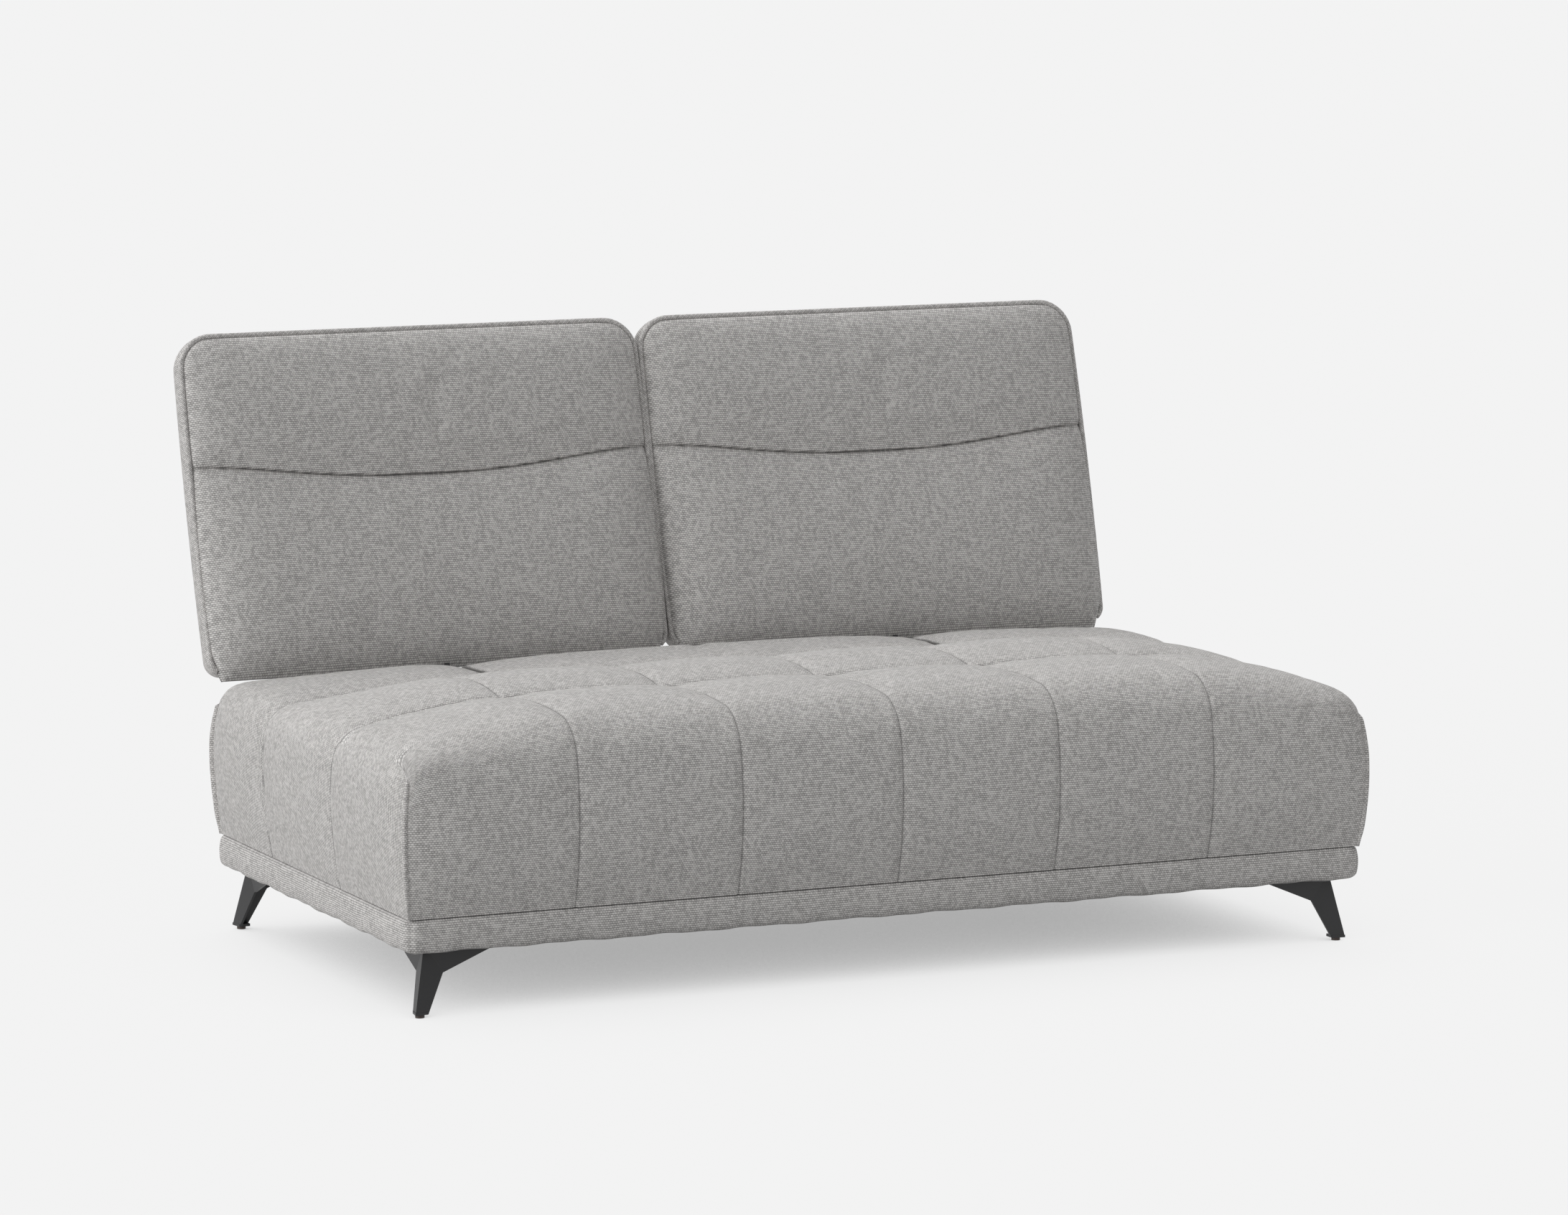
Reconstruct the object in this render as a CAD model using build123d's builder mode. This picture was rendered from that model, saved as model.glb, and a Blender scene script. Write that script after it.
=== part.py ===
from build123d import *
from math import cos, radians, sin, tan
import os

os.makedirs("parts", exist_ok=True)

# Armless two-seat sofa with two backrests that slide fore and aft over the rear of the seat.
# Millimetres. +X runs to the right as seen from the front, +Y to the back, +Z up.
# The origin is on the floor under the middle of the sofa's overall box.

# ---------------------------------------------------------------- driving dimensions

# Seat base, measured at the seam between the base band and the seat cover
seat_width = 1600.0
seat_depth = 842.0
front_y = -521.0
leg_clearance = 99.0
band_height = 53.5

# Upholstered base band
band_padding = 12.0
band_bulge = 6.5
band_bottom_radius = 12.0
band_turn_share = 0.3

# Plywood box under the seat
panel_thickness = 18.0
frame_height = 186.0
band_overhang = 5.0
partition_headroom = 4.0
block_leg = 135.0
block_height = 40.0
dust_cover_thickness = 1.4

# Webbing and foam
strap_thickness = 2.2
strap_width = 60.0
long_strap_count = 13
long_strap_pitch = 118.0
cross_strap_count = 5
cross_strap_pitch = 105.0
foam_inset = 34.0
foam_front_top = 404.0
foam_rear_top = 376.0

# Tufted seat cover: six panels across in the front rows, three in the rear row
panels_across = 6
row_1_share = 0.35
row_2_share = 0.3625
front_bulge_z = 285.0
shoulder_z = 388.0
front_bulge_seam = 18.0
front_bulge_crown = 24.0
front_bulge_corner = 9.0
crest_1_seam = 441.5
crest_1_crown = 459.0
crest_1_end = 386.0
crease_1_seam = 427.0
crease_1_crown = 436.0
crease_1_end = 381.0
crest_2_seam = 440.0
crest_2_crown = 449.0
crest_2_end = 385.0
crease_2_seam = 401.0
crease_2_crown = 406.0
crease_2_end = 380.0
crest_3_seam = 397.0
crest_3_crown = 411.5
crest_3_end = 384.0
rear_edge_seam = 389.0
rear_edge_crown = 403.5
rear_edge_end = 381.0
corner_top = 398.0
fall_level = 390.0
outer_panel_fall = 0.35
outer_pillow_falls = [0.46, 0.14, 0.0]
shoulder_lead = 10.0
front_edge_share = 0.45
shoulder_run_share = 1.2
shoulder_bend_run = 0.35
shoulder_bend_rise = 0.72
crest_1_place = 0.55
crest_2_place = 0.45
rear_edge_setback = 22.0
rear_bend_setback = 3.0
rear_bend_drop = 10.0
rear_shoulder_drop = 32.0
rear_shoulder_share = 0.55
side_edge_share = 0.5
side_bend_share = 0.22
side_edge_drop = 24.0
side_bend_drop = 8.0
side_bulge_seam = 15.0
side_bulge_crown = 20.0
rear_bulge = 13.0
side_root = 4.0
welt_radius = 6.0
welt_bow = 8.0
welt_inset = 1.5

# Slit in the cover, the foam and the rear panel for each backrest's arm
slit_width = 14.0
slit_front_reach = 5.0
foam_slit_lead = 30.0
slit_bottom_z = 275.0
notch_width = 40.0
notch_depth = 56.0

# Backrest slide
travel_margin = 42.0
slide_rake = 9.0
slide_half_width = 60.0
rail_height = 40.0
rail_wall = 3.0
rail_flange = 16.0
rail_margin = 20.0
rail_end_gap = 4.0
rail_drop = 78.0
runner_clearance = 0.3
plate_gap = 1.0
carriage_length = 110.0
carriage_thickness = 6.0
carriage_end_gap = 8.0
rail_screw_radius = 2.5
rail_screw_head = 5.0
rail_screw_head_height = 2.0
rail_screw_length = 14.0
rail_screw_end = 25.0

# Support arm, a steel plate standing in the slit
arm_thickness = 8.0
arm_foot_length = 92.0
arm_foot_setback = 4.0
arm_front_gap = 8.0
arm_root_depth = 36.0
arm_root_rise = 10.0
arm_gusset_drop = 22.0
arm_reach = 262.0
arm_tip_depth = 8.0
arm_shin = 40.0
arm_shin_depth = 24.0
arm_heel_depth = 28.0
plate_width = 120.0
plate_length = 250.0
plate_thickness = 4.0
plate_start = 8.0
plate_screw_radius = 3.0
plate_screw_head = 5.5
plate_screw_head_height = 3.0
plate_screw_length = 13.0
plate_screw_edge = 18.0

# Backrests
backrest_gap = 5.0
back_length = 547.0
back_recline = 15.5
back_rear_offset = 85.0
back_bottom_z = 396.0
back_top_radius = 56.0
back_bottom_radius = 26.0
border_depth = 34.0
border_padding = 8.0
border_rim_radius = 6.0
rear_cover_thickness = 6.0
back_board_thickness = 12.0
piping_radius = 3.2
piping_rise = 2.0
lumbar_crown = 46.0
lumbar_edge = 14.0
lumbar_drop = 12.0
cushion_shoulder = 300.0
cushion_shoulder_share = 0.85
lumbar_bend = 2.0
lumbar_bend_share = 0.72
lumbar_knee = 40.0
lumbar_knee_share = 0.97
lumbar_belly = 180.0
lumbar_belly_share = 1.06
lumbar_brow_drop = 50.0
lumbar_brow_share = 0.85
lumbar_top_bend = 12.0
lumbar_top_bend_share = 0.55
lip_share = 0.1
head_crown = 32.0
head_edge = 11.0
head_bend = 8.0
head_bend_share = 0.6
head_knee = 40.0
head_knee_share = 0.92
head_brow_drop = 50.0
head_brow_share = 0.88
head_top_bend = 12.0
back_seam_height = 329.0
back_seam_sag = 27.0
back_seam_gap = 0.4
arm_clearance = 0.5
pocket_clearance = 2.5
pocket_foot = -30.0
pocket_flare = 12.0
screw_pocket_clearance = 0.5

# Folded corner legs, measured in from the corner of the base
leg_inset_x = 34.0
leg_inset_y = 30.0
foot_inset_x = 14.0
foot_inset_y = 12.0
foot_width = 22.0
foot_cant = 3.8
leg_wall = 4.0
wing_length = 116.0
wing_tip_height = 3.0
crotch_reach = 31.0
crotch_height = 64.0
fold_margin = 1.0
leg_flange = 4.0
foot_plate = 4.0
glide_radius = 7.0
glide_height = 5.0
leg_screw_radius = 3.0
leg_screw_head = 6.0
leg_screw_head_height = 3.0
leg_screw_length = 30.0
leg_screw_inner = 26.0
leg_screw_outer = 76.0
leg_screw_side = 14.0
screw_hole_clearance = 0.2

# ---------------------------------------------------------------- places worked out from them

left_x = -seat_width / 2
rear_y = front_y + seat_depth
middle_y = (front_y + rear_y) / 2
row_1_depth = seat_depth * row_1_share
row_2_depth = seat_depth * row_2_share
crease_1_y = front_y + row_1_depth
crease_2_y = crease_1_y + row_2_depth
seam_z = leg_clearance + band_height
frame_bottom_z = leg_clearance + band_overhang
frame_top_z = frame_bottom_z + frame_height
frame_left_x = left_x + band_padding
frame_front_y = front_y + band_padding
frame_rear_y = rear_y - band_padding
frame_width = seat_width - 2 * band_padding
frame_depth = seat_depth - 2 * band_padding
foam_bottom_z = frame_top_z + 2 * strap_thickness
seat_centres = {"left": -seat_width / 4, "right": seat_width / 4}
sides = {"left": -1, "right": 1}

# Directions of the slide (forward and slightly up) and of the backrest's own axes
slide_forward = (0, -cos(radians(slide_rake)), sin(radians(slide_rake)))
up_slope = (0, sin(radians(back_recline)), cos(radians(back_recline)))
face_out = (0, -cos(radians(back_recline)), sin(radians(back_recline)))
back_rear_y = rear_y + back_rear_offset
back_width = seat_width / 2 - backrest_gap
# A backrest slides over the rear row; its rails are long enough to keep the carriage on them
travel = rear_y - crease_2_y - travel_margin
rail_length = travel + carriage_length + rail_margin

# The rail's middle line drops towards the rear; this is its height at the carriage's rear end
carriage_rear_y = frame_rear_y - panel_thickness - carriage_end_gap
rail_z = frame_top_z - rail_drop


def rail_middle_z(y):
    return rail_z + (carriage_rear_y - y) * tan(radians(slide_rake))


def back_point(along, out):
    y = back_rear_y + along * up_slope[1] + out * face_out[1]
    z = back_bottom_z + along * up_slope[2] + out * face_out[2]
    return (y, z)


def back_plane(centre_x):
    return Plane(origin=(centre_x, back_rear_y, back_bottom_z), x_dir=(1, 0, 0), z_dir=face_out)


def back_section_plane(x):
    return Plane(origin=(x, back_rear_y, back_bottom_z), x_dir=up_slope, z_dir=(1, 0, 0))


def cross_plane(y):
    return Plane(origin=(0, y, 0), x_dir=(1, 0, 0), z_dir=(0, -1, 0))


def save(piece, name):
    piece.part.label = name
    export_step(piece.part, "parts/" + name + ".step")


# ---------------------------------------------------------------- base band

# One padded strip on each side, mitred at the corners, bulging a little between its seams
def band_profile(plane):
    with BuildSketch(plane) as profile:
        with BuildLine():
            top = (0, seam_z)
            widest = (-band_bulge, leg_clearance + band_height / 2)
            turn = (-band_bulge / 2, leg_clearance + band_bottom_radius)
            foot = (band_bottom_radius - band_bulge / 2, leg_clearance)
            corner = (
                turn[0] + band_bottom_radius * band_turn_share,
                leg_clearance + band_bottom_radius * band_turn_share,
            )
            ThreePointArc(top, widest, turn)
            ThreePointArc(turn, corner, foot)
            Line(foot, (band_padding, leg_clearance))
            Line((band_padding, leg_clearance), (band_padding, seam_z))
            Line((band_padding, seam_z), top)
        make_face()
    return profile.sketch


def mitre(x, y, facing_x, facing_y):
    return Plane(origin=(x, y, 0), z_dir=(facing_x, facing_y, 0))


run = seat_width / 2 + 2 * band_bulge
with BuildPart() as base_band_front:
    across = Plane(origin=(0, front_y, 0), x_dir=(0, 1, 0), z_dir=(1, 0, 0))
    extrude(band_profile(across), amount=run, both=True)
    split(bisect_by=mitre(left_x, front_y, 1, -1), keep=Keep.TOP)
    split(bisect_by=mitre(-left_x, front_y, -1, -1), keep=Keep.TOP)
save(base_band_front, "base_band_front")

with BuildPart() as base_band_rear:
    mirror(base_band_front.part, about=Plane(origin=(0, middle_y, 0), z_dir=(0, 1, 0)))
save(base_band_rear, "base_band_rear")

run = seat_depth / 2 + 2 * band_bulge
with BuildPart() as base_band_left:
    along = Plane(origin=(left_x, middle_y, 0), x_dir=(1, 0, 0), z_dir=(0, -1, 0))
    extrude(band_profile(along), amount=run, both=True)
    split(bisect_by=mitre(left_x, front_y, -1, 1), keep=Keep.TOP)
    split(bisect_by=mitre(left_x, rear_y, -1, -1), keep=Keep.TOP)
save(base_band_left, "base_band_left")

with BuildPart() as base_band_right:
    mirror(base_band_left.part, about=Plane.YZ)
save(base_band_right, "base_band_right")

# ---------------------------------------------------------------- plywood box

with BuildPart() as frame_panel_front:
    with BuildSketch(Plane.XY.offset(frame_bottom_z)):
        with Locations((0, frame_front_y)):
            Rectangle(frame_width, panel_thickness, align=(Align.CENTER, Align.MIN))
    extrude(amount=frame_height)
save(frame_panel_front, "frame_panel_front")

# The rear panel is notched where each arm leans back over it
with BuildPart() as frame_panel_rear:
    with BuildSketch(Plane.XY.offset(frame_bottom_z)):
        with Locations((0, frame_rear_y)):
            Rectangle(frame_width, panel_thickness, align=(Align.CENTER, Align.MAX))
    extrude(amount=frame_height)
    with BuildSketch(Plane.XY.offset(frame_top_z)):
        with Locations(*[(x, frame_rear_y) for x in seat_centres.values()]):
            Rectangle(notch_width, panel_thickness, align=(Align.CENTER, Align.MAX))
    extrude(amount=-notch_depth, mode=Mode.SUBTRACT)
save(frame_panel_rear, "frame_panel_rear")

inner_depth = frame_depth - 2 * panel_thickness
for side, sign in sides.items():
    with BuildPart() as frame_panel_side:
        with BuildSketch(Plane.XY.offset(frame_bottom_z)):
            with Locations((sign * (frame_width - panel_thickness) / 2, middle_y)):
                Rectangle(panel_thickness, inner_depth)
        extrude(amount=frame_height)
    save(frame_panel_side, "frame_panel_" + side)

# Screws that hold a rail to its partition, as places in depth and height
rail_rear_y = frame_rear_y - panel_thickness - rail_end_gap
rail_screw_starts = [rail_screw_end, rail_length - rail_screw_end]
rail_screw_spots = [
    (rail_rear_y + d * slide_forward[1], rail_middle_z(rail_rear_y) + d * slide_forward[2])
    for d in rail_screw_starts
]
rail_screw_reach = rail_screw_length - rail_wall

# Two partitions beside each arm carry its rails
rail_places = {"outer": -1, "inner": 1}
for side, centre_x in seat_centres.items():
    for place, sign in rail_places.items():
        facing = -sign * sides[side]
        rail_face_x = centre_x + facing * slide_half_width
        with BuildPart() as partition:
            with BuildSketch(Plane.XY.offset(frame_bottom_z)):
                with Locations((rail_face_x + facing * panel_thickness / 2, middle_y)):
                    Rectangle(panel_thickness, inner_depth)
            extrude(amount=frame_height - partition_headroom)
            with BuildSketch(Plane.YZ.offset(rail_face_x)):
                with Locations(*rail_screw_spots):
                    Circle(rail_screw_radius)
            extrude(amount=facing * rail_screw_reach, mode=Mode.SUBTRACT)
        save(partition, "partition_" + side + "_" + place)

# Three-cornered blocks that take the leg screws
block_x = frame_left_x + panel_thickness
block_y = frame_front_y + panel_thickness
screw_spots = [
    (left_x + leg_inset_x + leg_screw_inner, front_y + leg_inset_y + leg_screw_inner),
    (left_x + leg_inset_x + leg_screw_outer, front_y + leg_inset_y + leg_screw_side),
    (left_x + leg_inset_x + leg_screw_side, front_y + leg_inset_y + leg_screw_outer),
]
with BuildPart() as corner_block_front_left:
    with BuildSketch(Plane.XY.offset(frame_bottom_z)):
        with BuildLine():
            Polyline(
                (block_x, block_y),
                (block_x + block_leg, block_y),
                (block_x, block_y + block_leg),
                close=True,
            )
        make_face()
    extrude(amount=block_height)
    with BuildSketch(Plane.XY.offset(frame_bottom_z)):
        with Locations(*screw_spots):
            Circle(leg_screw_radius)
    extrude(amount=leg_screw_length, mode=Mode.SUBTRACT)

# Dust cover stapled under the box
with BuildPart() as dust_cover:
    with BuildSketch(Plane.XY.offset(frame_bottom_z)):
        with Locations((0, middle_y)):
            Rectangle(frame_width, frame_depth)
        with Locations(*screw_spots):
            Circle(leg_screw_radius, mode=Mode.SUBTRACT)
        mirror(about=Plane.YZ, mode=Mode.INTERSECT)
        mirror(about=Plane(origin=(0, middle_y, 0), z_dir=(0, 1, 0)), mode=Mode.INTERSECT)
    extrude(amount=-dust_cover_thickness)
save(dust_cover, "dust_cover")

# ---------------------------------------------------------------- legs

# The metal section is an angle: an outer corner, a tip along X and a tip along Y
def angle_section(z, corner, tip_x, tip_y):
    inner = (corner[0] + leg_wall, corner[1] + leg_wall)
    with BuildSketch(Plane.XY.offset(z)) as section:
        with BuildLine():
            Polyline(
                corner,
                tip_x,
                (tip_x[0], tip_x[1] + leg_wall),
                inner,
                (tip_y[0] + leg_wall, tip_y[1]),
                tip_y,
                close=True,
            )
        make_face()
    return section.sketch


leg_top_z = frame_bottom_z - dust_cover_thickness
leg_corner = (left_x + leg_inset_x, front_y + leg_inset_y)
foot_corner = (left_x + foot_inset_x, front_y + foot_inset_y)
crotch_share = (leg_top_z - crotch_height) / (leg_top_z - glide_height)
crotch_corner = (
    leg_corner[0] + (foot_corner[0] - leg_corner[0]) * crotch_share,
    leg_corner[1] + (foot_corner[1] - leg_corner[1]) * crotch_share,
)
fold_start = leg_wall + fold_margin
foot_section = angle_section(
    glide_height,
    foot_corner,
    (foot_corner[0] + foot_width, foot_corner[1] + foot_cant),
    (foot_corner[0] + foot_cant, foot_corner[1] + foot_width),
)
crotch_section = angle_section(
    crotch_height,
    crotch_corner,
    (leg_corner[0] + crotch_reach, leg_corner[1]),
    (leg_corner[0], leg_corner[1] + crotch_reach),
)
top_section = angle_section(
    leg_top_z,
    leg_corner,
    (leg_corner[0] + fold_start, leg_corner[1]),
    (leg_corner[0], leg_corner[1] + fold_start),
)
with BuildPart() as leg_front_left:
    # Shank, splayed outwards, in two lengths above and below the crotch
    loft([foot_section, crotch_section], ruled=True)
    loft([crotch_section, top_section], ruled=True)
    # Upright wings along the front and along the side
    with BuildSketch(Plane(origin=(0, leg_corner[1], 0), x_dir=(1, 0, 0), z_dir=(0, -1, 0))):
        with BuildLine():
            Polyline(
                (leg_corner[0], leg_top_z),
                (leg_corner[0] + wing_length, leg_top_z),
                (leg_corner[0] + wing_length, leg_top_z - wing_tip_height),
                (leg_corner[0] + crotch_reach, crotch_height),
                close=True,
            )
        make_face()
    extrude(amount=-leg_wall)
    with BuildSketch(Plane(origin=(leg_corner[0], 0, 0), x_dir=(0, 1, 0), z_dir=(1, 0, 0))):
        with BuildLine():
            Polyline(
                (leg_corner[1], leg_top_z),
                (leg_corner[1] + wing_length, leg_top_z),
                (leg_corner[1] + wing_length, leg_top_z - wing_tip_height),
                (leg_corner[1] + crotch_reach, crotch_height),
                close=True,
            )
        make_face()
    extrude(amount=leg_wall)
    # Flange under the box and plate that closes the foot
    with BuildSketch(Plane.XY.offset(leg_top_z)):
        with BuildLine():
            Polyline(
                leg_corner,
                (leg_corner[0] + wing_length, leg_corner[1]),
                (leg_corner[0], leg_corner[1] + wing_length),
                close=True,
            )
        make_face()
        with Locations(*screw_spots):
            Circle(leg_screw_radius + screw_hole_clearance, mode=Mode.SUBTRACT)
    extrude(amount=-leg_flange)
    with BuildSketch(Plane.XY.offset(glide_height)):
        with BuildLine():
            Polyline(
                foot_corner,
                (foot_corner[0] + foot_width, foot_corner[1] + foot_cant),
                (foot_corner[0] + foot_width, foot_corner[1] + foot_width),
                (foot_corner[0] + foot_cant, foot_corner[1] + foot_width),
                close=True,
            )
        make_face()
    extrude(amount=foot_plate)

with BuildPart() as glide_front_left:
    with BuildSketch():
        with Locations((foot_corner[0] + foot_width / 2, foot_corner[1] + foot_width / 2)):
            Circle(glide_radius)
    extrude(amount=glide_height)

# Corner pieces are made once at the front left and mirrored to the other three corners
side_mirror = Plane.YZ
depth_mirror = Plane(origin=(0, middle_y, 0), z_dir=(0, 1, 0))
corner_pieces = {"corner_block": corner_block_front_left, "leg": leg_front_left, "glide": glide_front_left}
for piece_name, front_left in corner_pieces.items():
    save(front_left, piece_name + "_front_left")
    with BuildPart() as front_right:
        mirror(front_left.part, about=side_mirror)
    save(front_right, piece_name + "_front_right")
    with BuildPart() as rear_left:
        mirror(front_left.part, about=depth_mirror)
    save(rear_left, piece_name + "_rear_left")
    with BuildPart() as rear_right:
        mirror(rear_left.part, about=side_mirror)
    save(rear_right, piece_name + "_rear_right")

flange_bottom_z = leg_top_z - leg_flange
with BuildPart() as leg_screws:
    with BuildSketch(Plane.XY.offset(flange_bottom_z)):
        with Locations(*screw_spots):
            Circle(leg_screw_head)
    extrude(amount=-leg_screw_head_height)
    with BuildSketch(Plane.XY.offset(flange_bottom_z)):
        with Locations(*screw_spots):
            Circle(leg_screw_radius)
    extrude(amount=leg_flange + dust_cover_thickness + leg_screw_length)
    mirror(about=side_mirror)
    mirror(about=depth_mirror)
save(leg_screws, "leg_screws")

# ---------------------------------------------------------------- webbing and foam

# Long straps run front to back and leave room for the arms; cross straps stop short of the slits
long_strap_half = (long_strap_count - 1) / 2
long_strap_xs = [(i - long_strap_half) * long_strap_pitch for i in range(long_strap_count)]
clear_of_slit = (strap_width + notch_width) / 2
kept_xs = [x for x in long_strap_xs if abs(abs(x) - seat_width / 4) > clear_of_slit]
with BuildPart() as webbing_long:
    with BuildSketch(Plane.XY.offset(frame_top_z)):
        with Locations(*[(x, middle_y) for x in kept_xs]):
            Rectangle(strap_width, frame_depth)
    extrude(amount=strap_thickness)
save(webbing_long, "webbing_long")

with BuildPart() as webbing_cross:
    with BuildSketch(Plane.XY.offset(frame_top_z + strap_thickness)):
        first_y = frame_front_y + cross_strap_pitch
        with Locations(*[(0, first_y + i * cross_strap_pitch) for i in range(cross_strap_count)]):
            Rectangle(frame_width, strap_width)
    extrude(amount=strap_thickness)
save(webbing_cross, "webbing_cross")


def foam_profile():
    with BuildSketch(Plane.YZ) as profile:
        with BuildLine():
            Polyline(
                (front_y + foam_inset, foam_bottom_z),
                (rear_y - foam_inset, foam_bottom_z),
                (rear_y - foam_inset, foam_rear_top),
                (front_y + foam_inset, foam_front_top),
                close=True,
            )
        make_face()
    return profile.sketch


slit_front_y = crease_2_y - slit_front_reach
slit_top_z = crest_1_crown
slit_depth = rear_y + back_rear_offset - slit_front_y
foam_half_width = seat_width / 2 - foam_inset
with BuildPart() as seat_foam:
    extrude(foam_profile(), amount=foam_half_width, both=True)
    with BuildSketch(Plane.XY.offset(foam_bottom_z)):
        with Locations(*[(x, slit_front_y - foam_slit_lead) for x in seat_centres.values()]):
            Rectangle(slit_width, slit_depth, align=(Align.CENTER, Align.MIN))
    extrude(amount=slit_top_z - foam_bottom_z, mode=Mode.SUBTRACT)
save(seat_foam, "seat_foam")

# ---------------------------------------------------------------- tufted seat cover

# A section across the two front rows: front face, shoulder, front pillow, middle pillow
def front_rows_section(x, front_bulge, shoulder_top, crest_1, crease_1, crest_2, crease_2):
    with BuildSketch(Plane.YZ.offset(x)) as section:
        with BuildLine():
            base = (front_y, seam_z)
            bulge = (front_y - front_bulge, front_bulge_z)
            edge = (front_y - front_bulge * front_edge_share, shoulder_z)
            rise = shoulder_top - shoulder_z
            shoulder = (front_y + rise * shoulder_bend_run, shoulder_z + rise * shoulder_bend_rise)
            top = (front_y + rise * shoulder_run_share, shoulder_top)
            ThreePointArc(base, bulge, edge)
            ThreePointArc(edge, shoulder, top)
            ThreePointArc(top, (front_y + row_1_depth * crest_1_place, crest_1), (crease_1_y, crease_1))
            crest = (crease_1_y + row_2_depth * crest_2_place, crest_2)
            ThreePointArc((crease_1_y, crease_1), crest, (crease_2_y, crease_2))
            Line((crease_2_y, crease_2), (crease_2_y, seam_z))
            Line((crease_2_y, seam_z), base)
        make_face()
    return section.sketch


# A section across the rear row: top, rear shoulder and the plain rear face
def rear_row_section(x, crease_2, crest_3, rear_edge):
    with BuildSketch(Plane.YZ.offset(x)) as section:
        with BuildLine():
            edge_y = rear_y - rear_edge_setback
            bend = (rear_y - rear_bend_setback, rear_edge - rear_bend_drop)
            shoulder = (rear_y + rear_bulge * rear_shoulder_share, rear_edge - rear_shoulder_drop)
            base = (rear_y, seam_z)
            middle = ((crease_2_y + edge_y) / 2, crest_3)
            ThreePointArc((crease_2_y, crease_2), middle, (edge_y, rear_edge))
            ThreePointArc((edge_y, rear_edge), bend, shoulder)
            ThreePointArc(shoulder, (rear_y + rear_bulge, front_bulge_z), base)
            Line(base, (crease_2_y, seam_z))
            Line((crease_2_y, seam_z), (crease_2_y, crease_2))
        make_face()
    return section.sketch


def end_section(x):
    return front_rows_section(
        x, front_bulge_corner, corner_top, crest_1_end, crease_1_end, crest_2_end, crease_2_end
    )


def seam_section(x):
    top = crest_1_seam - shoulder_lead
    return front_rows_section(
        x, front_bulge_seam, top, crest_1_seam, crease_1_seam, crest_2_seam, crease_2_seam
    )


# The outer panels fall away towards the sides, the more the higher they stand
def fallen(heights, share):
    return [height - (height - fall_level) * share for height in heights]


def crown_section(x, fall_share):
    top = crest_1_crown - shoulder_lead
    heights = [top, crest_1_crown, crease_1_crown, crest_2_crown, crease_2_crown]
    return front_rows_section(x, front_bulge_crown, *fallen(heights, fall_share))


# A section up the side of one row; the side stands out from the end of the top panels
def side_section(y, bulge, top):
    with BuildSketch(cross_plane(y)) as section:
        with BuildLine():
            base = (left_x, seam_z)
            edge = (left_x - bulge * side_edge_share, top - side_edge_drop)
            inner = left_x + side_root
            ThreePointArc(base, (left_x - bulge, front_bulge_z), edge)
            bend = (left_x - bulge * side_bend_share, top - side_bend_drop)
            ThreePointArc(edge, bend, (inner, top))
            Line((inner, top), (inner, seam_z))
            Line((inner, seam_z), base)
        make_face()
    return section.sketch


# Rounded sewn flange that bows out along each upright corner
with BuildPart() as corner_welts:
    for y, out, top in [(front_y, -1, corner_top), (rear_y, 1, rear_edge_end)]:
        with BuildLine() as bow:
            foot = (left_x + welt_inset, y - out * welt_inset, seam_z - welt_radius)
            waist = (left_x - welt_bow, y + out * welt_bow, front_bulge_z)
            head = (left_x + welt_radius / 2, y - out * welt_radius / 2, top - welt_radius)
            ThreePointArc(foot, waist, head)
        with BuildSketch(Plane(origin=bow.line @ 0, z_dir=bow.line % 0)):
            Circle(welt_radius)
        sweep(path=bow.line)

# Each row of the side runs from end to end through its crowned middle
with BuildPart() as side_panel:
    row_edges = [
        side_section(front_y, front_bulge_corner, corner_top),
        side_section(crease_1_y, side_bulge_seam, crease_1_end),
        side_section(crease_2_y, side_bulge_seam, crease_2_end),
        side_section(rear_y, front_bulge_corner, rear_edge_end),
    ]
    row_middles = [
        side_section((front_y + crease_1_y) / 2, side_bulge_crown, crest_1_end),
        side_section((crease_1_y + crease_2_y) / 2, side_bulge_crown, crest_2_end),
        side_section((crease_2_y + rear_y) / 2, side_bulge_crown, crest_3_end),
    ]
    for near, middle, far in zip(row_edges, row_middles, row_edges[1:]):
        loft([near, middle, far])
    add(corner_welts.part)

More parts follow.
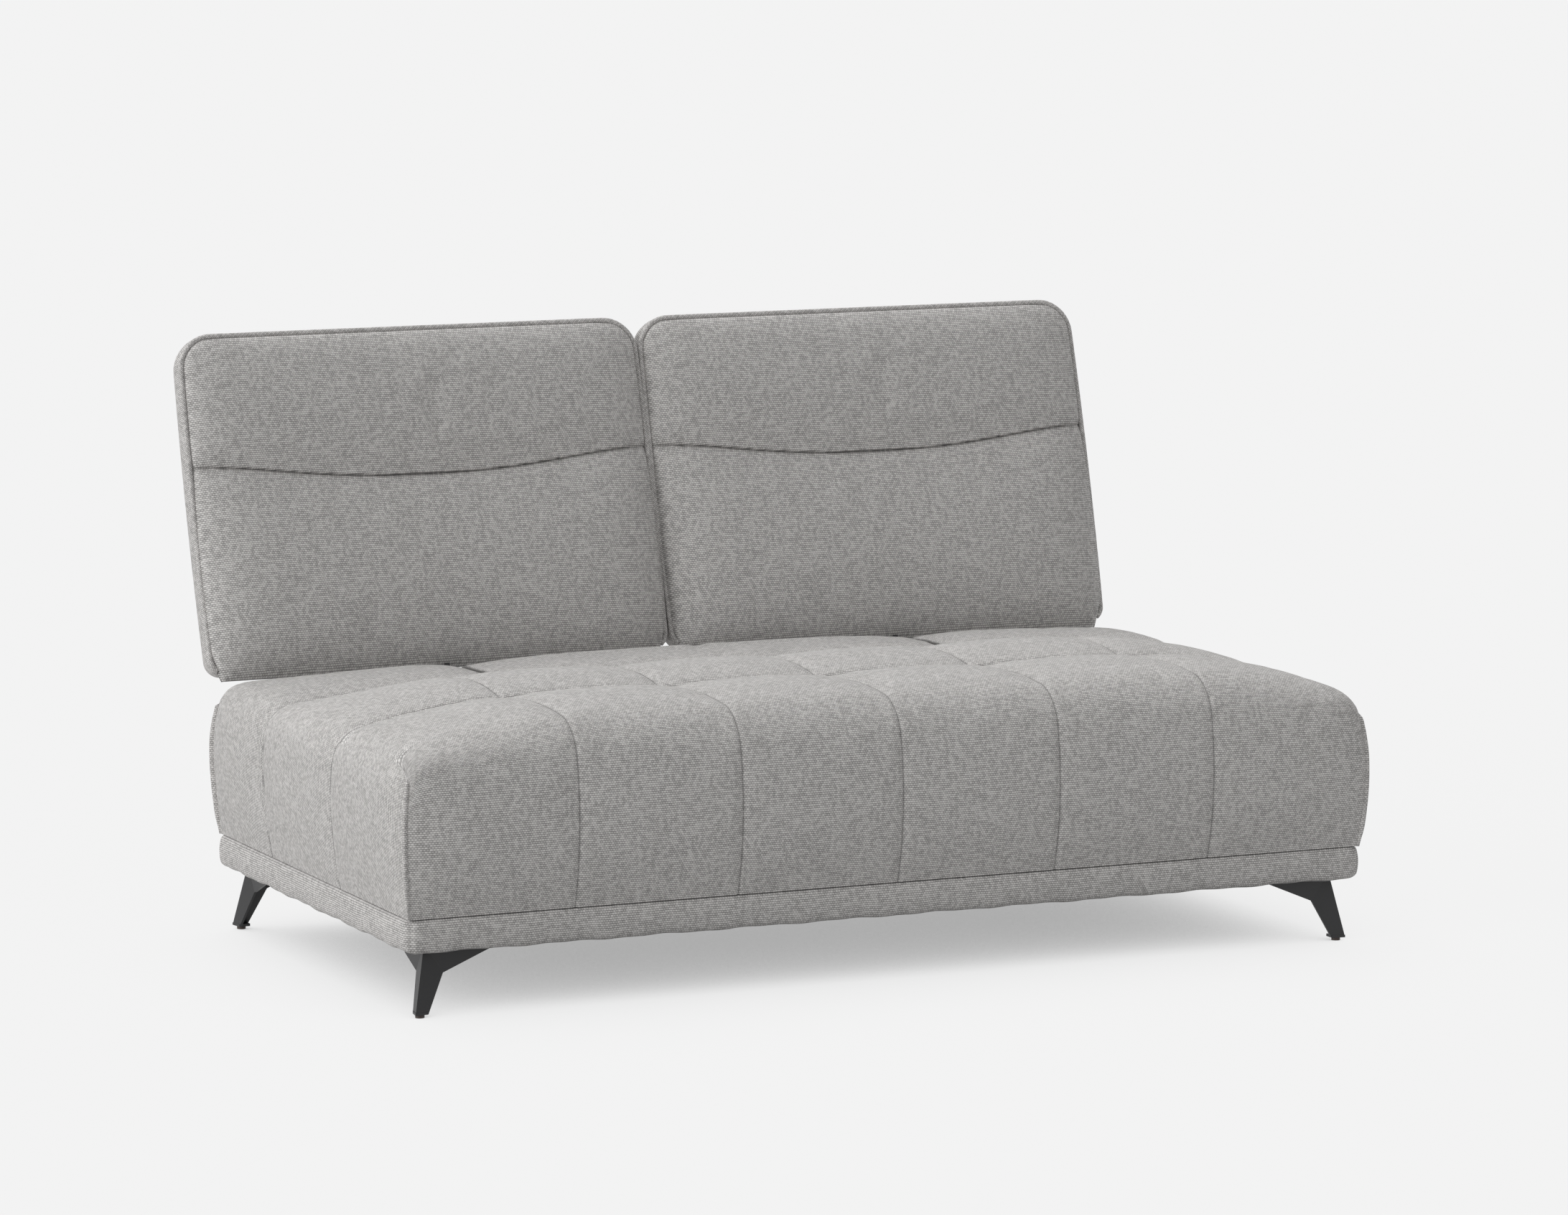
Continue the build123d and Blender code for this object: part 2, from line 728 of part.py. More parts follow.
panel_width = seat_width / panels_across
with BuildPart() as seat_cover:
    # Six panels over the two front rows, each crowned between its seams
    for i in range(panels_across):
        near_x = left_x + i * panel_width
        far_x = near_x + panel_width
        near = end_section(near_x) if i == 0 else seam_section(near_x)
        far = end_section(far_x) if i == panels_across - 1 else seam_section(far_x)
        fall_share = outer_panel_fall if i in (0, panels_across - 1) else 0
        loft([near, crown_section((near_x + far_x) / 2, fall_share), far])
    # Three pillows in the rear row, parted in the middle of each backrest
    edges = [left_x, seat_centres["left"], seat_centres["right"], -left_x]
    for near_x, far_x in zip(edges, edges[1:]):
        quarter = (far_x - near_x) / 4
        near_end = near_x == left_x
        far_end = far_x == -left_x
        end = (crease_2_end, crest_3_end, rear_edge_end)
        valley = (crease_2_seam, crest_3_seam, rear_edge_seam)
        crown = (crease_2_crown, crest_3_crown, rear_edge_crown)
        near = rear_row_section(near_x, *(end if near_end else valley))
        falls = [0, 0, 0]
        if near_end:
            falls = outer_pillow_falls
        elif far_end:
            falls = outer_pillow_falls[::-1]
        places = [near_x + k * quarter for k in (1, 2, 3)]
        middles = [rear_row_section(x, *fallen(crown, fall)) for x, fall in zip(places, falls)]
        far = rear_row_section(far_x, *(end if far_end else valley))
        loft([near, *middles, far])
    # Left side with its corner flanges, and its mirror image
    add(side_panel.part)
    mirror(side_panel.part, about=Plane.YZ)
    # Level underside on the base seam
    split(bisect_by=Plane.XY.offset(seam_z), keep=Keep.TOP)
    # Room for the box with its webbing, and for the foam
    with BuildSketch(Plane.XY.offset(seam_z)):
        with Locations((0, middle_y)):
            Rectangle(frame_width, frame_depth)
    extrude(amount=foam_bottom_z - seam_z, mode=Mode.SUBTRACT)
    extrude(foam_profile(), amount=foam_half_width, both=True, mode=Mode.SUBTRACT)
    # Slits, open to the rear
    with BuildSketch(Plane.XY.offset(slit_bottom_z)):
        with Locations(*[(x, slit_front_y) for x in seat_centres.values()]):
            Rectangle(slit_width, slit_depth, align=(Align.CENTER, Align.MIN))
    extrude(amount=slit_top_z - slit_bottom_z, mode=Mode.SUBTRACT)
save(seat_cover, "seat_cover")

# ---------------------------------------------------------------- backrest slides

# Open channels that face each other, one on each partition
channel_room = rail_height - 2 * rail_wall
for side, centre_x in seat_centres.items():
    for place, sign in rail_places.items():
        facing = -sign * sides[side]
        rail_start = Plane(
            origin=(centre_x, rail_rear_y, rail_middle_z(rail_rear_y)),
            x_dir=(1, 0, 0),
            z_dir=slide_forward,
        )
        rail_face_x = centre_x + facing * slide_half_width
        with BuildPart() as rail:
            with BuildSketch(rail_start):
                with Locations((facing * (slide_half_width - rail_flange / 2), 0)):
                    Rectangle(rail_flange, rail_height)
                with Locations((facing * (slide_half_width - rail_wall - rail_flange / 2), 0)):
                    Rectangle(rail_flange, channel_room, mode=Mode.SUBTRACT)
            extrude(amount=rail_length)
            with BuildSketch(Plane.YZ.offset(rail_face_x)):
                with Locations(*rail_screw_spots):
                    Circle(rail_screw_radius)
            extrude(amount=-facing * rail_wall, mode=Mode.SUBTRACT)
            with BuildSketch(Plane.YZ.offset(rail_face_x - facing * rail_wall)):
                with Locations(*rail_screw_spots):
                    Circle(rail_screw_head)
            extrude(amount=facing * rail_screw_head_height, mode=Mode.SUBTRACT)
        save(rail, "rail_" + side + "_" + place)

with BuildPart() as rail_screws:
    for side, centre_x in seat_centres.items():
        for facing in (-1, 1):
            web_x = centre_x + facing * (slide_half_width - rail_wall)
            with BuildSketch(Plane.YZ.offset(web_x)):
                with Locations(*rail_screw_spots):
                    Circle(rail_screw_head)
            extrude(amount=facing * rail_screw_head_height)
            with BuildSketch(Plane.YZ.offset(web_x)):
                with Locations(*rail_screw_spots):
                    Circle(rail_screw_radius)
            extrude(amount=facing * rail_screw_length)
save(rail_screws, "rail_screws")

# ---------------------------------------------------------------- moving backrests

board_out = rear_cover_thickness
plate_out = board_out + back_board_thickness
arm_out = plate_out + plate_thickness
inner_half = back_width / 2 - border_padding
carriage_half = slide_half_width - rail_flange - plate_gap
runner_width = slide_half_width - rail_wall - runner_clearance - carriage_half


def carriage_top_z(y):
    return rail_middle_z(y) + carriage_thickness / 2 / cos(radians(slide_rake))


# Side view of the arm: foot on the carriage, lean over the rear panel, tapered spine in the backrest
foot_rear_y = carriage_rear_y - arm_foot_setback
foot_front_y = foot_rear_y - arm_foot_length
root_y = slit_front_y + travel + arm_front_gap
root_z = foam_bottom_z + arm_root_rise
arm_outline = [
    (foot_front_y, carriage_top_z(foot_front_y)),
    (foot_rear_y, carriage_top_z(foot_rear_y)),
    (root_y + arm_root_depth, root_z),
    back_point(plate_start, arm_out),
    back_point(arm_reach, arm_out),
    back_point(arm_reach, arm_out + arm_tip_depth),
    back_point(arm_shin, arm_out + arm_shin_depth),
    back_point(0, arm_out + arm_heel_depth),
    (root_y, root_z),
    (root_y - arm_root_rise, root_z - arm_gusset_drop - arm_root_rise),
]
pocket_outline = [
    (pocket_foot, plate_out),
    (arm_reach + pocket_clearance, plate_out),
    (arm_reach + pocket_clearance, arm_out + arm_tip_depth + pocket_clearance),
    (arm_shin, arm_out + arm_shin_depth + pocket_clearance),
    (0, arm_out + arm_heel_depth + pocket_clearance),
    (pocket_foot, arm_out + arm_heel_depth + pocket_clearance + pocket_flare),
]
plate_screw_u = plate_width / 2 - plate_screw_edge
plate_screw_vs = [plate_start + plate_screw_edge, plate_start + plate_length - plate_screw_edge]
plate_screw_spots = [(u, v) for u in (-plate_screw_u, plate_screw_u) for v in plate_screw_vs]


# Outline of the backrest, drawn in by the given amount; the upper corners are the rounder ones
def back_outline(centre_x, out, inset):
    with BuildSketch(back_plane(centre_x).offset(out)) as outline:
        with Locations((0, inset)):
            Rectangle(back_width - 2 * inset, back_length - 2 * inset, align=(Align.CENTER, Align.MIN))
        fillet(outline.vertices().group_by(Axis.Y)[-1], radius=back_top_radius - inset)
        fillet(outline.vertices().group_by(Axis.Y)[0], radius=back_bottom_radius - inset)
    return outline.sketch


# The seam between the two cushions hangs lower in the middle
def seam_height(u):
    return back_seam_height - back_seam_sag * (1 - (u / inner_half) ** 2)


# Upright slices through the lower and the upper cushion
def lumbar_section(centre_x, u, crown):
    top = seam_height(u)
    with BuildSketch(back_section_plane(centre_x + u)) as section:
        with BuildLine():
            foot = (-lumbar_drop, border_depth)
            bend = (lumbar_bend, border_depth + crown * lumbar_bend_share)
            knee = (lumbar_knee, border_depth + crown * lumbar_knee_share)
            belly = (lumbar_belly, border_depth + crown * lumbar_belly_share)
            brow = (top - lumbar_brow_drop, border_depth + crown * lumbar_brow_share)
            top_bend = (top - lumbar_top_bend, border_depth + crown * lumbar_top_bend_share)
            lip = (top, border_depth + crown * lip_share)
            ThreePointArc(foot, bend, knee)
            ThreePointArc(knee, belly, brow)
            ThreePointArc(brow, top_bend, lip)
            Line(lip, (top, border_depth))
            Line((top, border_depth), foot)
        make_face()
    return section.sketch


def head_section(centre_x, u, crown):
    bottom = seam_height(u) + back_seam_gap
    top = back_length - border_padding
    with BuildSketch(back_section_plane(centre_x + u)) as section:
        with BuildLine():
            lip = (bottom, border_depth + crown * lip_share)
            bend = (bottom + head_bend, border_depth + crown * head_bend_share)
            knee = (bottom + head_knee, border_depth + crown * head_knee_share)
            belly = ((bottom + top) / 2, border_depth + crown)
            brow = (top - head_brow_drop, border_depth + crown * head_brow_share)
            top_bend = (top - head_top_bend, border_depth + crown * head_bend_share)
            rim = (top, border_depth + crown * lip_share)
            ThreePointArc(lip, bend, knee)
            ThreePointArc(knee, belly, brow)
            ThreePointArc(brow, top_bend, rim)
            Line(rim, (top, border_depth))
            Line((top, border_depth), (bottom, border_depth))
            Line((bottom, border_depth), lip)
        make_face()
    return section.sketch


# Widths at which the cushions are sliced, with the share of the crown reached there
cushion_slices = [
    (-inner_half, 0),
    (-cushion_shoulder, cushion_shoulder_share),
    (0, 1),
    (cushion_shoulder, cushion_shoulder_share),
    (inner_half, 0),
]

for side, centre_x in seat_centres.items():
    carriage_start = Plane(
        origin=(centre_x, carriage_rear_y, rail_middle_z(carriage_rear_y)),
        x_dir=(1, 0, 0),
        z_dir=slide_forward,
    )
    with BuildPart() as carriage:
        with BuildSketch(carriage_start):
            Rectangle(2 * carriage_half, carriage_thickness)
        extrude(amount=carriage_length)
    save(carriage, "carriage_" + side)

    with BuildPart() as runners:
        with BuildSketch(carriage_start):
            with Locations(*[(facing * (carriage_half + runner_width / 2), 0) for facing in (-1, 1)]):
                Rectangle(runner_width, channel_room - 2 * runner_clearance)
        extrude(amount=carriage_length)
    save(runners, "runners_" + side)

    with BuildPart() as support_arm:
        with BuildSketch(Plane.YZ.offset(centre_x)):
            with BuildLine():
                Polyline(*arm_outline, close=True)
            make_face()
        extrude(amount=arm_thickness / 2, both=True)
    save(support_arm, "support_arm_" + side)

    with BuildPart() as arm_pocket:
        with BuildSketch(back_section_plane(centre_x)):
            with BuildLine():
                Polyline(*pocket_outline, close=True)
            make_face()
        extrude(amount=arm_thickness / 2 + arm_clearance, both=True)

    with BuildPart() as mounting_plate:
        with BuildSketch(back_plane(centre_x).offset(plate_out)):
            with Locations((0, plate_start)):
                Rectangle(plate_width, plate_length, align=(Align.CENTER, Align.MIN))
            with Locations(*plate_screw_spots):
                Circle(plate_screw_radius, mode=Mode.SUBTRACT)
        extrude(amount=plate_thickness)
    save(mounting_plate, "mounting_plate_" + side)

    with BuildPart() as plate_screws:
        with BuildSketch(back_plane(centre_x).offset(arm_out)):
            with Locations(*plate_screw_spots):
                Circle(plate_screw_head)
        extrude(amount=plate_screw_head_height)
        with BuildSketch(back_plane(centre_x).offset(arm_out)):
            with Locations(*plate_screw_spots):
                Circle(plate_screw_radius)
        extrude(amount=-plate_screw_length)
    save(plate_screws, "plate_screws_" + side)

    with BuildPart() as back_rear_cover:
        extrude(back_outline(centre_x, 0, border_padding), amount=rear_cover_thickness)
    save(back_rear_cover, "back_rear_cover_" + side)

    with BuildPart() as back_board:
        extrude(back_outline(centre_x, board_out, border_padding), amount=back_board_thickness)
        with BuildSketch(back_plane(centre_x).offset(plate_out)):
            with Locations(*plate_screw_spots):
                Circle(plate_screw_radius)
        extrude(amount=plate_thickness - plate_screw_length, mode=Mode.SUBTRACT)
    save(back_board, "back_board_" + side)

    with BuildPart() as back_foam:
        extrude(back_outline(centre_x, plate_out, border_padding), amount=border_depth - plate_out)
        with BuildSketch(back_plane(centre_x).offset(plate_out)):
            with Locations((0, plate_start)):
                Rectangle(plate_width, plate_length, align=(Align.CENTER, Align.MIN))
        extrude(amount=plate_thickness, mode=Mode.SUBTRACT)
        with BuildSketch(back_plane(centre_x).offset(arm_out)):
            with Locations(*plate_screw_spots):
                Circle(plate_screw_head + screw_pocket_clearance)
        extrude(amount=plate_screw_head_height + screw_pocket_clearance, mode=Mode.SUBTRACT)
        add(arm_pocket.part, mode=Mode.SUBTRACT)
    save(back_foam, "back_foam_" + side)

    # Padded strip right round the edge, its rims rolled over
    with BuildPart() as back_border:
        extrude(back_outline(centre_x, 0, 0), amount=border_depth)
        rims = back_border.faces().sort_by(Axis((0, 0, 0), face_out))
        fillet(rims[0].edges() + rims[-1].edges(), radius=border_rim_radius)
        extrude(back_outline(centre_x, 0, border_padding), amount=border_depth, mode=Mode.SUBTRACT)
        add(arm_pocket.part, mode=Mode.SUBTRACT)
    save(back_border, "back_border_" + side)

    # Piping up one side, over the top and down the other
    with BuildPart() as back_piping:
        with BuildLine(back_plane(centre_x).offset(border_depth + piping_rise)) as piping_line:
            piping_half = back_width / 2 - border_padding / 2
            piping_top = back_length - border_padding / 2
            FilletPolyline(
                (-piping_half, back_bottom_radius),
                (-piping_half, piping_top),
                (piping_half, piping_top),
                (piping_half, back_bottom_radius),
                radius=back_top_radius - border_padding / 2,
            )
        with BuildSketch(Plane(origin=piping_line.line @ 0, z_dir=piping_line.line % 0)):
            Circle(piping_radius)
        sweep(path=piping_line.line)
        add(back_border.part, mode=Mode.SUBTRACT)
    save(back_piping, "back_piping_" + side)

    # Lower cushion, trimmed to the rounded corners inside the piping
    with BuildPart() as lumbar_cushion:
        loft(
            [
                lumbar_section(centre_x, u, lumbar_edge + (lumbar_crown - lumbar_edge) * share)
                for u, share in cushion_slices
            ]
        )
        with BuildSketch(back_plane(centre_x).offset(border_depth)) as lumbar_outline:
            with Locations((0, -2 * lumbar_drop)):
                Rectangle(2 * inner_half, back_length, align=(Align.CENTER, Align.MIN))
            fillet(lumbar_outline.vertices().group_by(Axis.Y)[0], radius=back_bottom_radius)
        extrude(amount=2 * lumbar_crown, mode=Mode.INTERSECT)
        add(arm_pocket.part, mode=Mode.SUBTRACT)
    save(lumbar_cushion, "lumbar_cushion_" + side)

    with BuildPart() as head_cushion:
        loft(
            [
                head_section(centre_x, u, head_edge + (head_crown - head_edge) * share)
                for u, share in cushion_slices
            ]
        )
        outline = back_outline(centre_x, border_depth, border_padding)
        extrude(outline, amount=2 * head_crown, mode=Mode.INTERSECT)
    save(head_cushion, "head_cushion_" + side)
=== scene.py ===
import math

import bmesh
import bpy
import numpy as np
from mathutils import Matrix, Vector


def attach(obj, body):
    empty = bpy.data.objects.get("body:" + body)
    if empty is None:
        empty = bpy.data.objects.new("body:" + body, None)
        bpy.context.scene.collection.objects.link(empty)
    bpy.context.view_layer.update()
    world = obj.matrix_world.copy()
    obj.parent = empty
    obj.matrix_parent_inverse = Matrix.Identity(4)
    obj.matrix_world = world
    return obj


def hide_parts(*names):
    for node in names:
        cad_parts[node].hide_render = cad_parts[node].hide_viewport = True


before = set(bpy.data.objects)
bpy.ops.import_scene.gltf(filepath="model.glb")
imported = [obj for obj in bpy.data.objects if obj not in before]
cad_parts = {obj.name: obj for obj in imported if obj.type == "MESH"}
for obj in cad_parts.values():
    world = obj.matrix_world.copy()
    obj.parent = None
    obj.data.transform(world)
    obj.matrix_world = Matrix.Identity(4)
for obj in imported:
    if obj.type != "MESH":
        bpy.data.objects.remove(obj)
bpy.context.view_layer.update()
scene = bpy.context.scene
sides = {"left": -1, "right": 1}


class Shade:  # one output of a node tree, written with ordinary operators
    def __init__(self, tree, socket=None):
        self.tree = tree
        self.socket = socket

    def node(self, kind, inputs=None, output=0, **settings):
        made = self.tree.nodes.new("ShaderNode" + kind)
        for name, value in settings.items():
            setattr(made, name, value)
        for name, value in (inputs or {}).items():
            if isinstance(value, Shade):
                value.feed(made.inputs[name])
            else:
                made.inputs[name].default_value = value
        return Shade(self.tree, made.outputs[output])

    def feed(self, socket):
        self.tree.links.new(self.socket, socket)

    def maths(self, operation, *others):
        return self.node("Math", dict(enumerate((self, *others))), operation=operation)

    def __add__(self, other):
        return self.maths("ADD", other)

    def __mul__(self, other):
        return self.maths("MULTIPLY", other)

    def __sub__(self, other):
        return self.maths("SUBTRACT", other)

    def __rsub__(self, other):
        return self.maths("MULTIPLY_ADD", -1.0, other)

    def __truediv__(self, other):
        return self.maths("DIVIDE", other)

    def mix(self, low, high):  # self is the factor between two colours
        return self.node("Mix", {0: self, 6: low, 7: high}, 2, data_type="RGBA")

    def noise(self, scale, detail):  # self is the place where the noise is read
        return self.node("TexNoise", {"Vector": self, "Scale": scale, "Detail": detail})


def newMaterial(name):
    material = bpy.data.materials.new(name)
    material.use_nodes = True
    tree = material.node_tree
    return material, tree.nodes["Principled BSDF"], Shade(tree)


def colour(*tone):  # one number alone is a grey
    return (*(tone * 3 if len(tone) == 1 else tone), 1.0)


weave = {
    "ribPitch": 0.0033,  # height of one rib of the cloth
    "stitchPitch": 0.0042,  # length of one float along a rib
    "swayScale": 30.0,
    "swayReach": 0.0008,  # how far the threads wander
    "slubScale": 480.0,
    "streakScale": (210.0, 34.0),
    "cloudScale": 14.0,
    "threadMean": 0.48,
    "threadWeight": 1.10,
    "weights": {"fleck": 0.50, "slubs": 0.24, "streaks": 0.50, "clouds": 0.12},
    "dark": (0.262, 0.255, 0.248),
    "light": (0.735, 0.716, 0.702),
    "paintedShadeTone": 0.28,  # painted shade of a seam, slit or hem, as a share of the dark tone
    "paintedShadeShare": 0.6,
    "relief": 0.0008,
    "finish": {"Roughness": 0.92, "Sheen Weight": 0.10, "Sheen Roughness": 0.45, "Specular IOR Level": 0.2},
}


def upholstery(name, paintedLight=1.0):
    material, skin, start = newMaterial(name)
    place = start.node("UVMap", uv_map="weave")
    across, along = (start.node("SeparateXYZ", {0: place}, axis) for axis in (0, 1))
    paintedShade = start.node("Attribute", output=2, attribute_name="paintedShade")
    along = along + (place.noise(weave["swayScale"], 2.0) - 0.5) * weave["swayReach"]
    rows = along / weave["ribPitch"]
    floats = across / weave["stitchPitch"] + rows.maths("FLOOR") * 0.5
    ribWave, floatWave = ((part.maths("FRACT") * math.pi).maths("SINE") for part in (rows, floats))
    threads = ribWave * (floatWave * 0.65 + 0.35)
    # flecks are single stitches, lighter or darker than their neighbours
    cell = start.node("CombineXYZ", {0: floats.maths("FLOOR"), 1: rows.maths("FLOOR")})
    stretched = {axis: (across, along)[axis] * weave["streakScale"][axis] for axis in (0, 1)}
    parts = {
        "fleck": start.node("TexWhiteNoise", {"Vector": cell}, noise_dimensions="2D"),
        "slubs": place.noise(weave["slubScale"], 2.0),
        "streaks": start.node("CombineXYZ", stretched).noise(1.0, 2.0),
        "clouds": place.noise(weave["cloudScale"], 3.0),
    }
    level = (threads - weave["threadMean"]) * weave["threadWeight"] + 0.5
    for part, weight in weave["weights"].items():
        level = level + (parts[part] - 0.5) * weight
    level = level.maths("MAXIMUM", 0.0).maths("MINIMUM", 1.0)
    dark, light = (colour(*[part * paintedLight for part in weave[tone]]) for tone in ("dark", "light"))
    shadow = colour(*[part * paintedLight * weave["paintedShadeTone"] for part in weave["dark"]])
    # seams, slit lips, hems, rims and the band's foot are painted darker here: painted shade where the real
    # shade falls
    cloth = (paintedShade * weave["paintedShadeShare"]).mix(level.mix(dark, light), shadow)
    cloth.feed(skin.inputs["Base Color"])
    height = threads + parts["slubs"] * 0.5 + parts["fleck"] * 0.25
    bump = start.node("Bump", {"Strength": 0.75, "Distance": weave["relief"], "Height": height})
    bump.feed(skin.inputs["Normal"])
    for socket, value in weave["finish"].items():
        skin.inputs[socket].default_value = value
    return material


def grained(name, dark, light, scale, stretch=(1, 1, 1), roughness=0.6, metallic=0.0, relief=0.0002):
    material, skin, start = newMaterial(name)
    place = start.node("TexCoord", output=3)
    grain = start.node("Mapping", {"Vector": place, "Scale": stretch}).noise(scale, 4.0)
    grain.mix(colour(*dark), colour(*light)).feed(skin.inputs["Base Color"])
    (grain * 0.16 + (roughness - 0.08)).feed(skin.inputs["Roughness"])
    bump = start.node("Bump", {"Strength": 0.5, "Distance": relief, "Height": grain})
    bump.feed(skin.inputs["Normal"])
    skin.inputs["Metallic"].default_value = metallic
    return material


coverCloth = upholstery("coverCloth")
# the piping is the cover's cloth painted 6 % lighter: painted light against the shade of its groove
pipingCloth = upholstery("pipingCloth", 1.06)
satinBlack = grained("satinBlack", (0.010, 0.010, 0.011), (0.020, 0.020, 0.021), 1400, roughness=0.46)
blackSteel = grained("blackSteel", (0.014, 0.014, 0.015), (0.03, 0.03, 0.032), 900, roughness=0.5)
zincSteel = grained("zincSteel", (0.42, 0.42, 0.43), (0.62, 0.62, 0.61), 160, roughness=0.38, metallic=1.0)
glidePlastic = grained("glidePlastic", (0.030, 0.018, 0.014), (0.06, 0.04, 0.032), 700, roughness=0.55)
whiteNylon = grained("whiteNylon", (0.66, 0.65, 0.61), (0.76, 0.75, 0.71), 300, roughness=0.5)
birchPly = grained("birchPly", (0.50, 0.36, 0.22), (0.70, 0.54, 0.36), 14, (1, 1, 9), 0.7)
paleFoam = grained("paleFoam", (0.66, 0.60, 0.42), (0.86, 0.82, 0.66), 420, roughness=0.95, relief=0.001)
blackWebbing = grained("blackWebbing", (0.015, 0.015, 0.017), (0.05, 0.05, 0.055), 260, (1, 6, 1), 0.85)
blackLining = grained("blackLining", (0.008, 0.008, 0.009), (0.03, 0.03, 0.032), 620, roughness=0.95)
print("materials made")


def newObject(name, data):
    made = bpy.data.objects.new(name, data)
    scene.collection.objects.link(made)
    return made


def smoothstep(value):
    value = np.clip(value, 0, 1)
    return value * value * (3 - 2 * value)


def arcThrough(first, middle, last, shares):  # points on the circle through three points
    first, middle, last = (complex(*point) for point in (first, middle, last))
    shares = np.asarray(shares)
    ratio = (last - first) / (middle - first)
    if abs(ratio.imag) < 1e-9:
        spots = first + (last - first) * shares
    else:
        centre = first + (middle - first) * (ratio - abs(ratio) ** 2) / (2j * ratio.imag)
        ways = [(point - centre) / (first - centre) for point in (middle, last)]
        through, turn = np.angle(ways) % (2 * math.pi)
        if through > turn:
            turn -= 2 * math.pi
        spots = centre + (first - centre) * np.exp(1j * turn * shares)
    return np.stack([spots.real, spots.imag], 1)


seamSteps = (0.0, 0.0009, 0.0022, 0.004, 0.0066, 0.0105, 0.016)


def spaced(length, pitch, near=seamSteps):
    # shares of a length, close together at both ends, where a seam lies
    room = length - 2 * near[-1]
    count = max(2, int(round(room / pitch)))
    middle = np.linspace(near[-1], length - near[-1], count + 1)
    return np.concatenate([near[:-1], middle, [length - n for n in near[:-1][::-1]]]) / length


def runShares(line, lengths=False):  # how far along a line each of its points is
    run = np.concatenate([[0], np.cumsum(np.linalg.norm(np.diff(line, axis=0), axis=1))])
    return run if lengths else run / run[-1]


def gridNormals(points):
    down, right = np.gradient(points, axis=0), np.gradient(points, axis=1)
    normal = np.cross(right, down)
    return normal / np.maximum(np.linalg.norm(normal, axis=2, keepdims=True), 1e-12)


def gridQuads(index):
    return np.stack([index[:-1, :-1], index[:-1, 1:], index[1:, 1:], index[1:, :-1]], -1)


class Skin:  # gathers grids of points into one mesh with its weave and its painted shade at seams and recesses
    def __init__(self, name):
        self.name = name
        self.points, self.faces, self.uvs, self.marks = [], [], [], []
        self.count = 0

    def add(self, points, uv, paintedShade=0.0, flip=False, skip=None):
        rows, columns = points.shape[:2]
        index = self.count + np.arange(rows * columns).reshape(rows, columns)
        quads = gridQuads(index)
        if flip:
            quads = quads[..., ::-1]
        if skip is not None:
            quads = quads[~skip]
        self.faces.append(quads.reshape(-1, 4))
        self.points.append(points.reshape(-1, 3))
        self.uvs.append(uv.reshape(-1, 2))
        self.marks.append((np.ones((rows, columns)) * paintedShade).ravel())
        self.count += rows * columns

    def addWall(self, lines, uv, paintedShade=0.0, flip=False, axis=0):  # joins lines of points of one length
        self.add(np.stack(lines, axis), np.stack([uv] * len(lines), axis), paintedShade, flip)

    def addRim(self, outer, inner, uv, paintedShade=0.0, flip=False):  # walls between two sheets
        for end in (0, -1):
            turned = (end == 0) != flip
            self.addWall([outer[end], inner[end]], uv[end], paintedShade, turned)
            self.addWall([outer[:, end], inner[:, end]], uv[:, end], paintedShade, turned, 1)

    def build(self, material):
        points, uvs = np.concatenate(self.points), np.concatenate(self.uvs)
        marks, faces = np.concatenate(self.marks), np.concatenate(self.faces)
        mesh = bpy.data.meshes.new(self.name)
        mesh.from_pydata(points.tolist(), [], faces.tolist())
        layer = mesh.uv_layers.new(name="weave")
        loops = np.zeros(len(mesh.loops), int)
        mesh.loops.foreach_get("vertex_index", loops)
        layer.data.foreach_set("uv", uvs[loops].astype(np.float32).ravel())
        attribute = mesh.attributes.new("paintedShade", "FLOAT", "POINT")
        attribute.data.foreach_set("value", marks.astype(np.float32))
        welded = bmesh.new()
        welded.from_mesh(mesh)
        bmesh.ops.remove_doubles(welded, verts=welded.verts, dist=0.00001)
        welded.to_mesh(mesh)
        welded.free()
        mesh.shade_smooth()
        mesh.materials.append(material)
        return newObject(self.name, mesh)


clothRun = {
    "frames": 20,
    "cap": 0.026,  # the furthest that a point may go
    "settings": {
        "quality": 6,
        "mass": 0.35,
        "tension_stiffness": 18,
        "compression_stiffness": 18,
        "shear_stiffness": 8,
        "bending_stiffness": 0.9,
        "use_pressure": True,
        "uniform_pressure_force": 4.0,
        "shrink_min": -0.02,  # the cloth is cut a little larger than its place
    },
}


def cubicSpread(coarse, fine):  # weights that carry values from coarse places to fine ones
    weights = np.zeros((len(fine), len(coarse)))
    spot = np.clip(np.searchsorted(coarse, fine) - 1, 0, len(coarse) - 2)
    share = (fine - coarse[spot]) / (coarse[spot + 1] - coarse[spot])
    taps = [
        -0.5 * share + share**2 - 0.5 * share**3,
        1 - 2.5 * share**2 + 1.5 * share**3,
        0.5 * share + 2 * share**2 - 1.5 * share**3,
        -0.5 * share**2 + 0.5 * share**3,
    ]
    for step, tap in enumerate(taps):
        np.add.at(weights, (np.arange(len(fine)), np.clip(spot + step - 1, 0, len(coarse) - 1)), tap)
    return weights


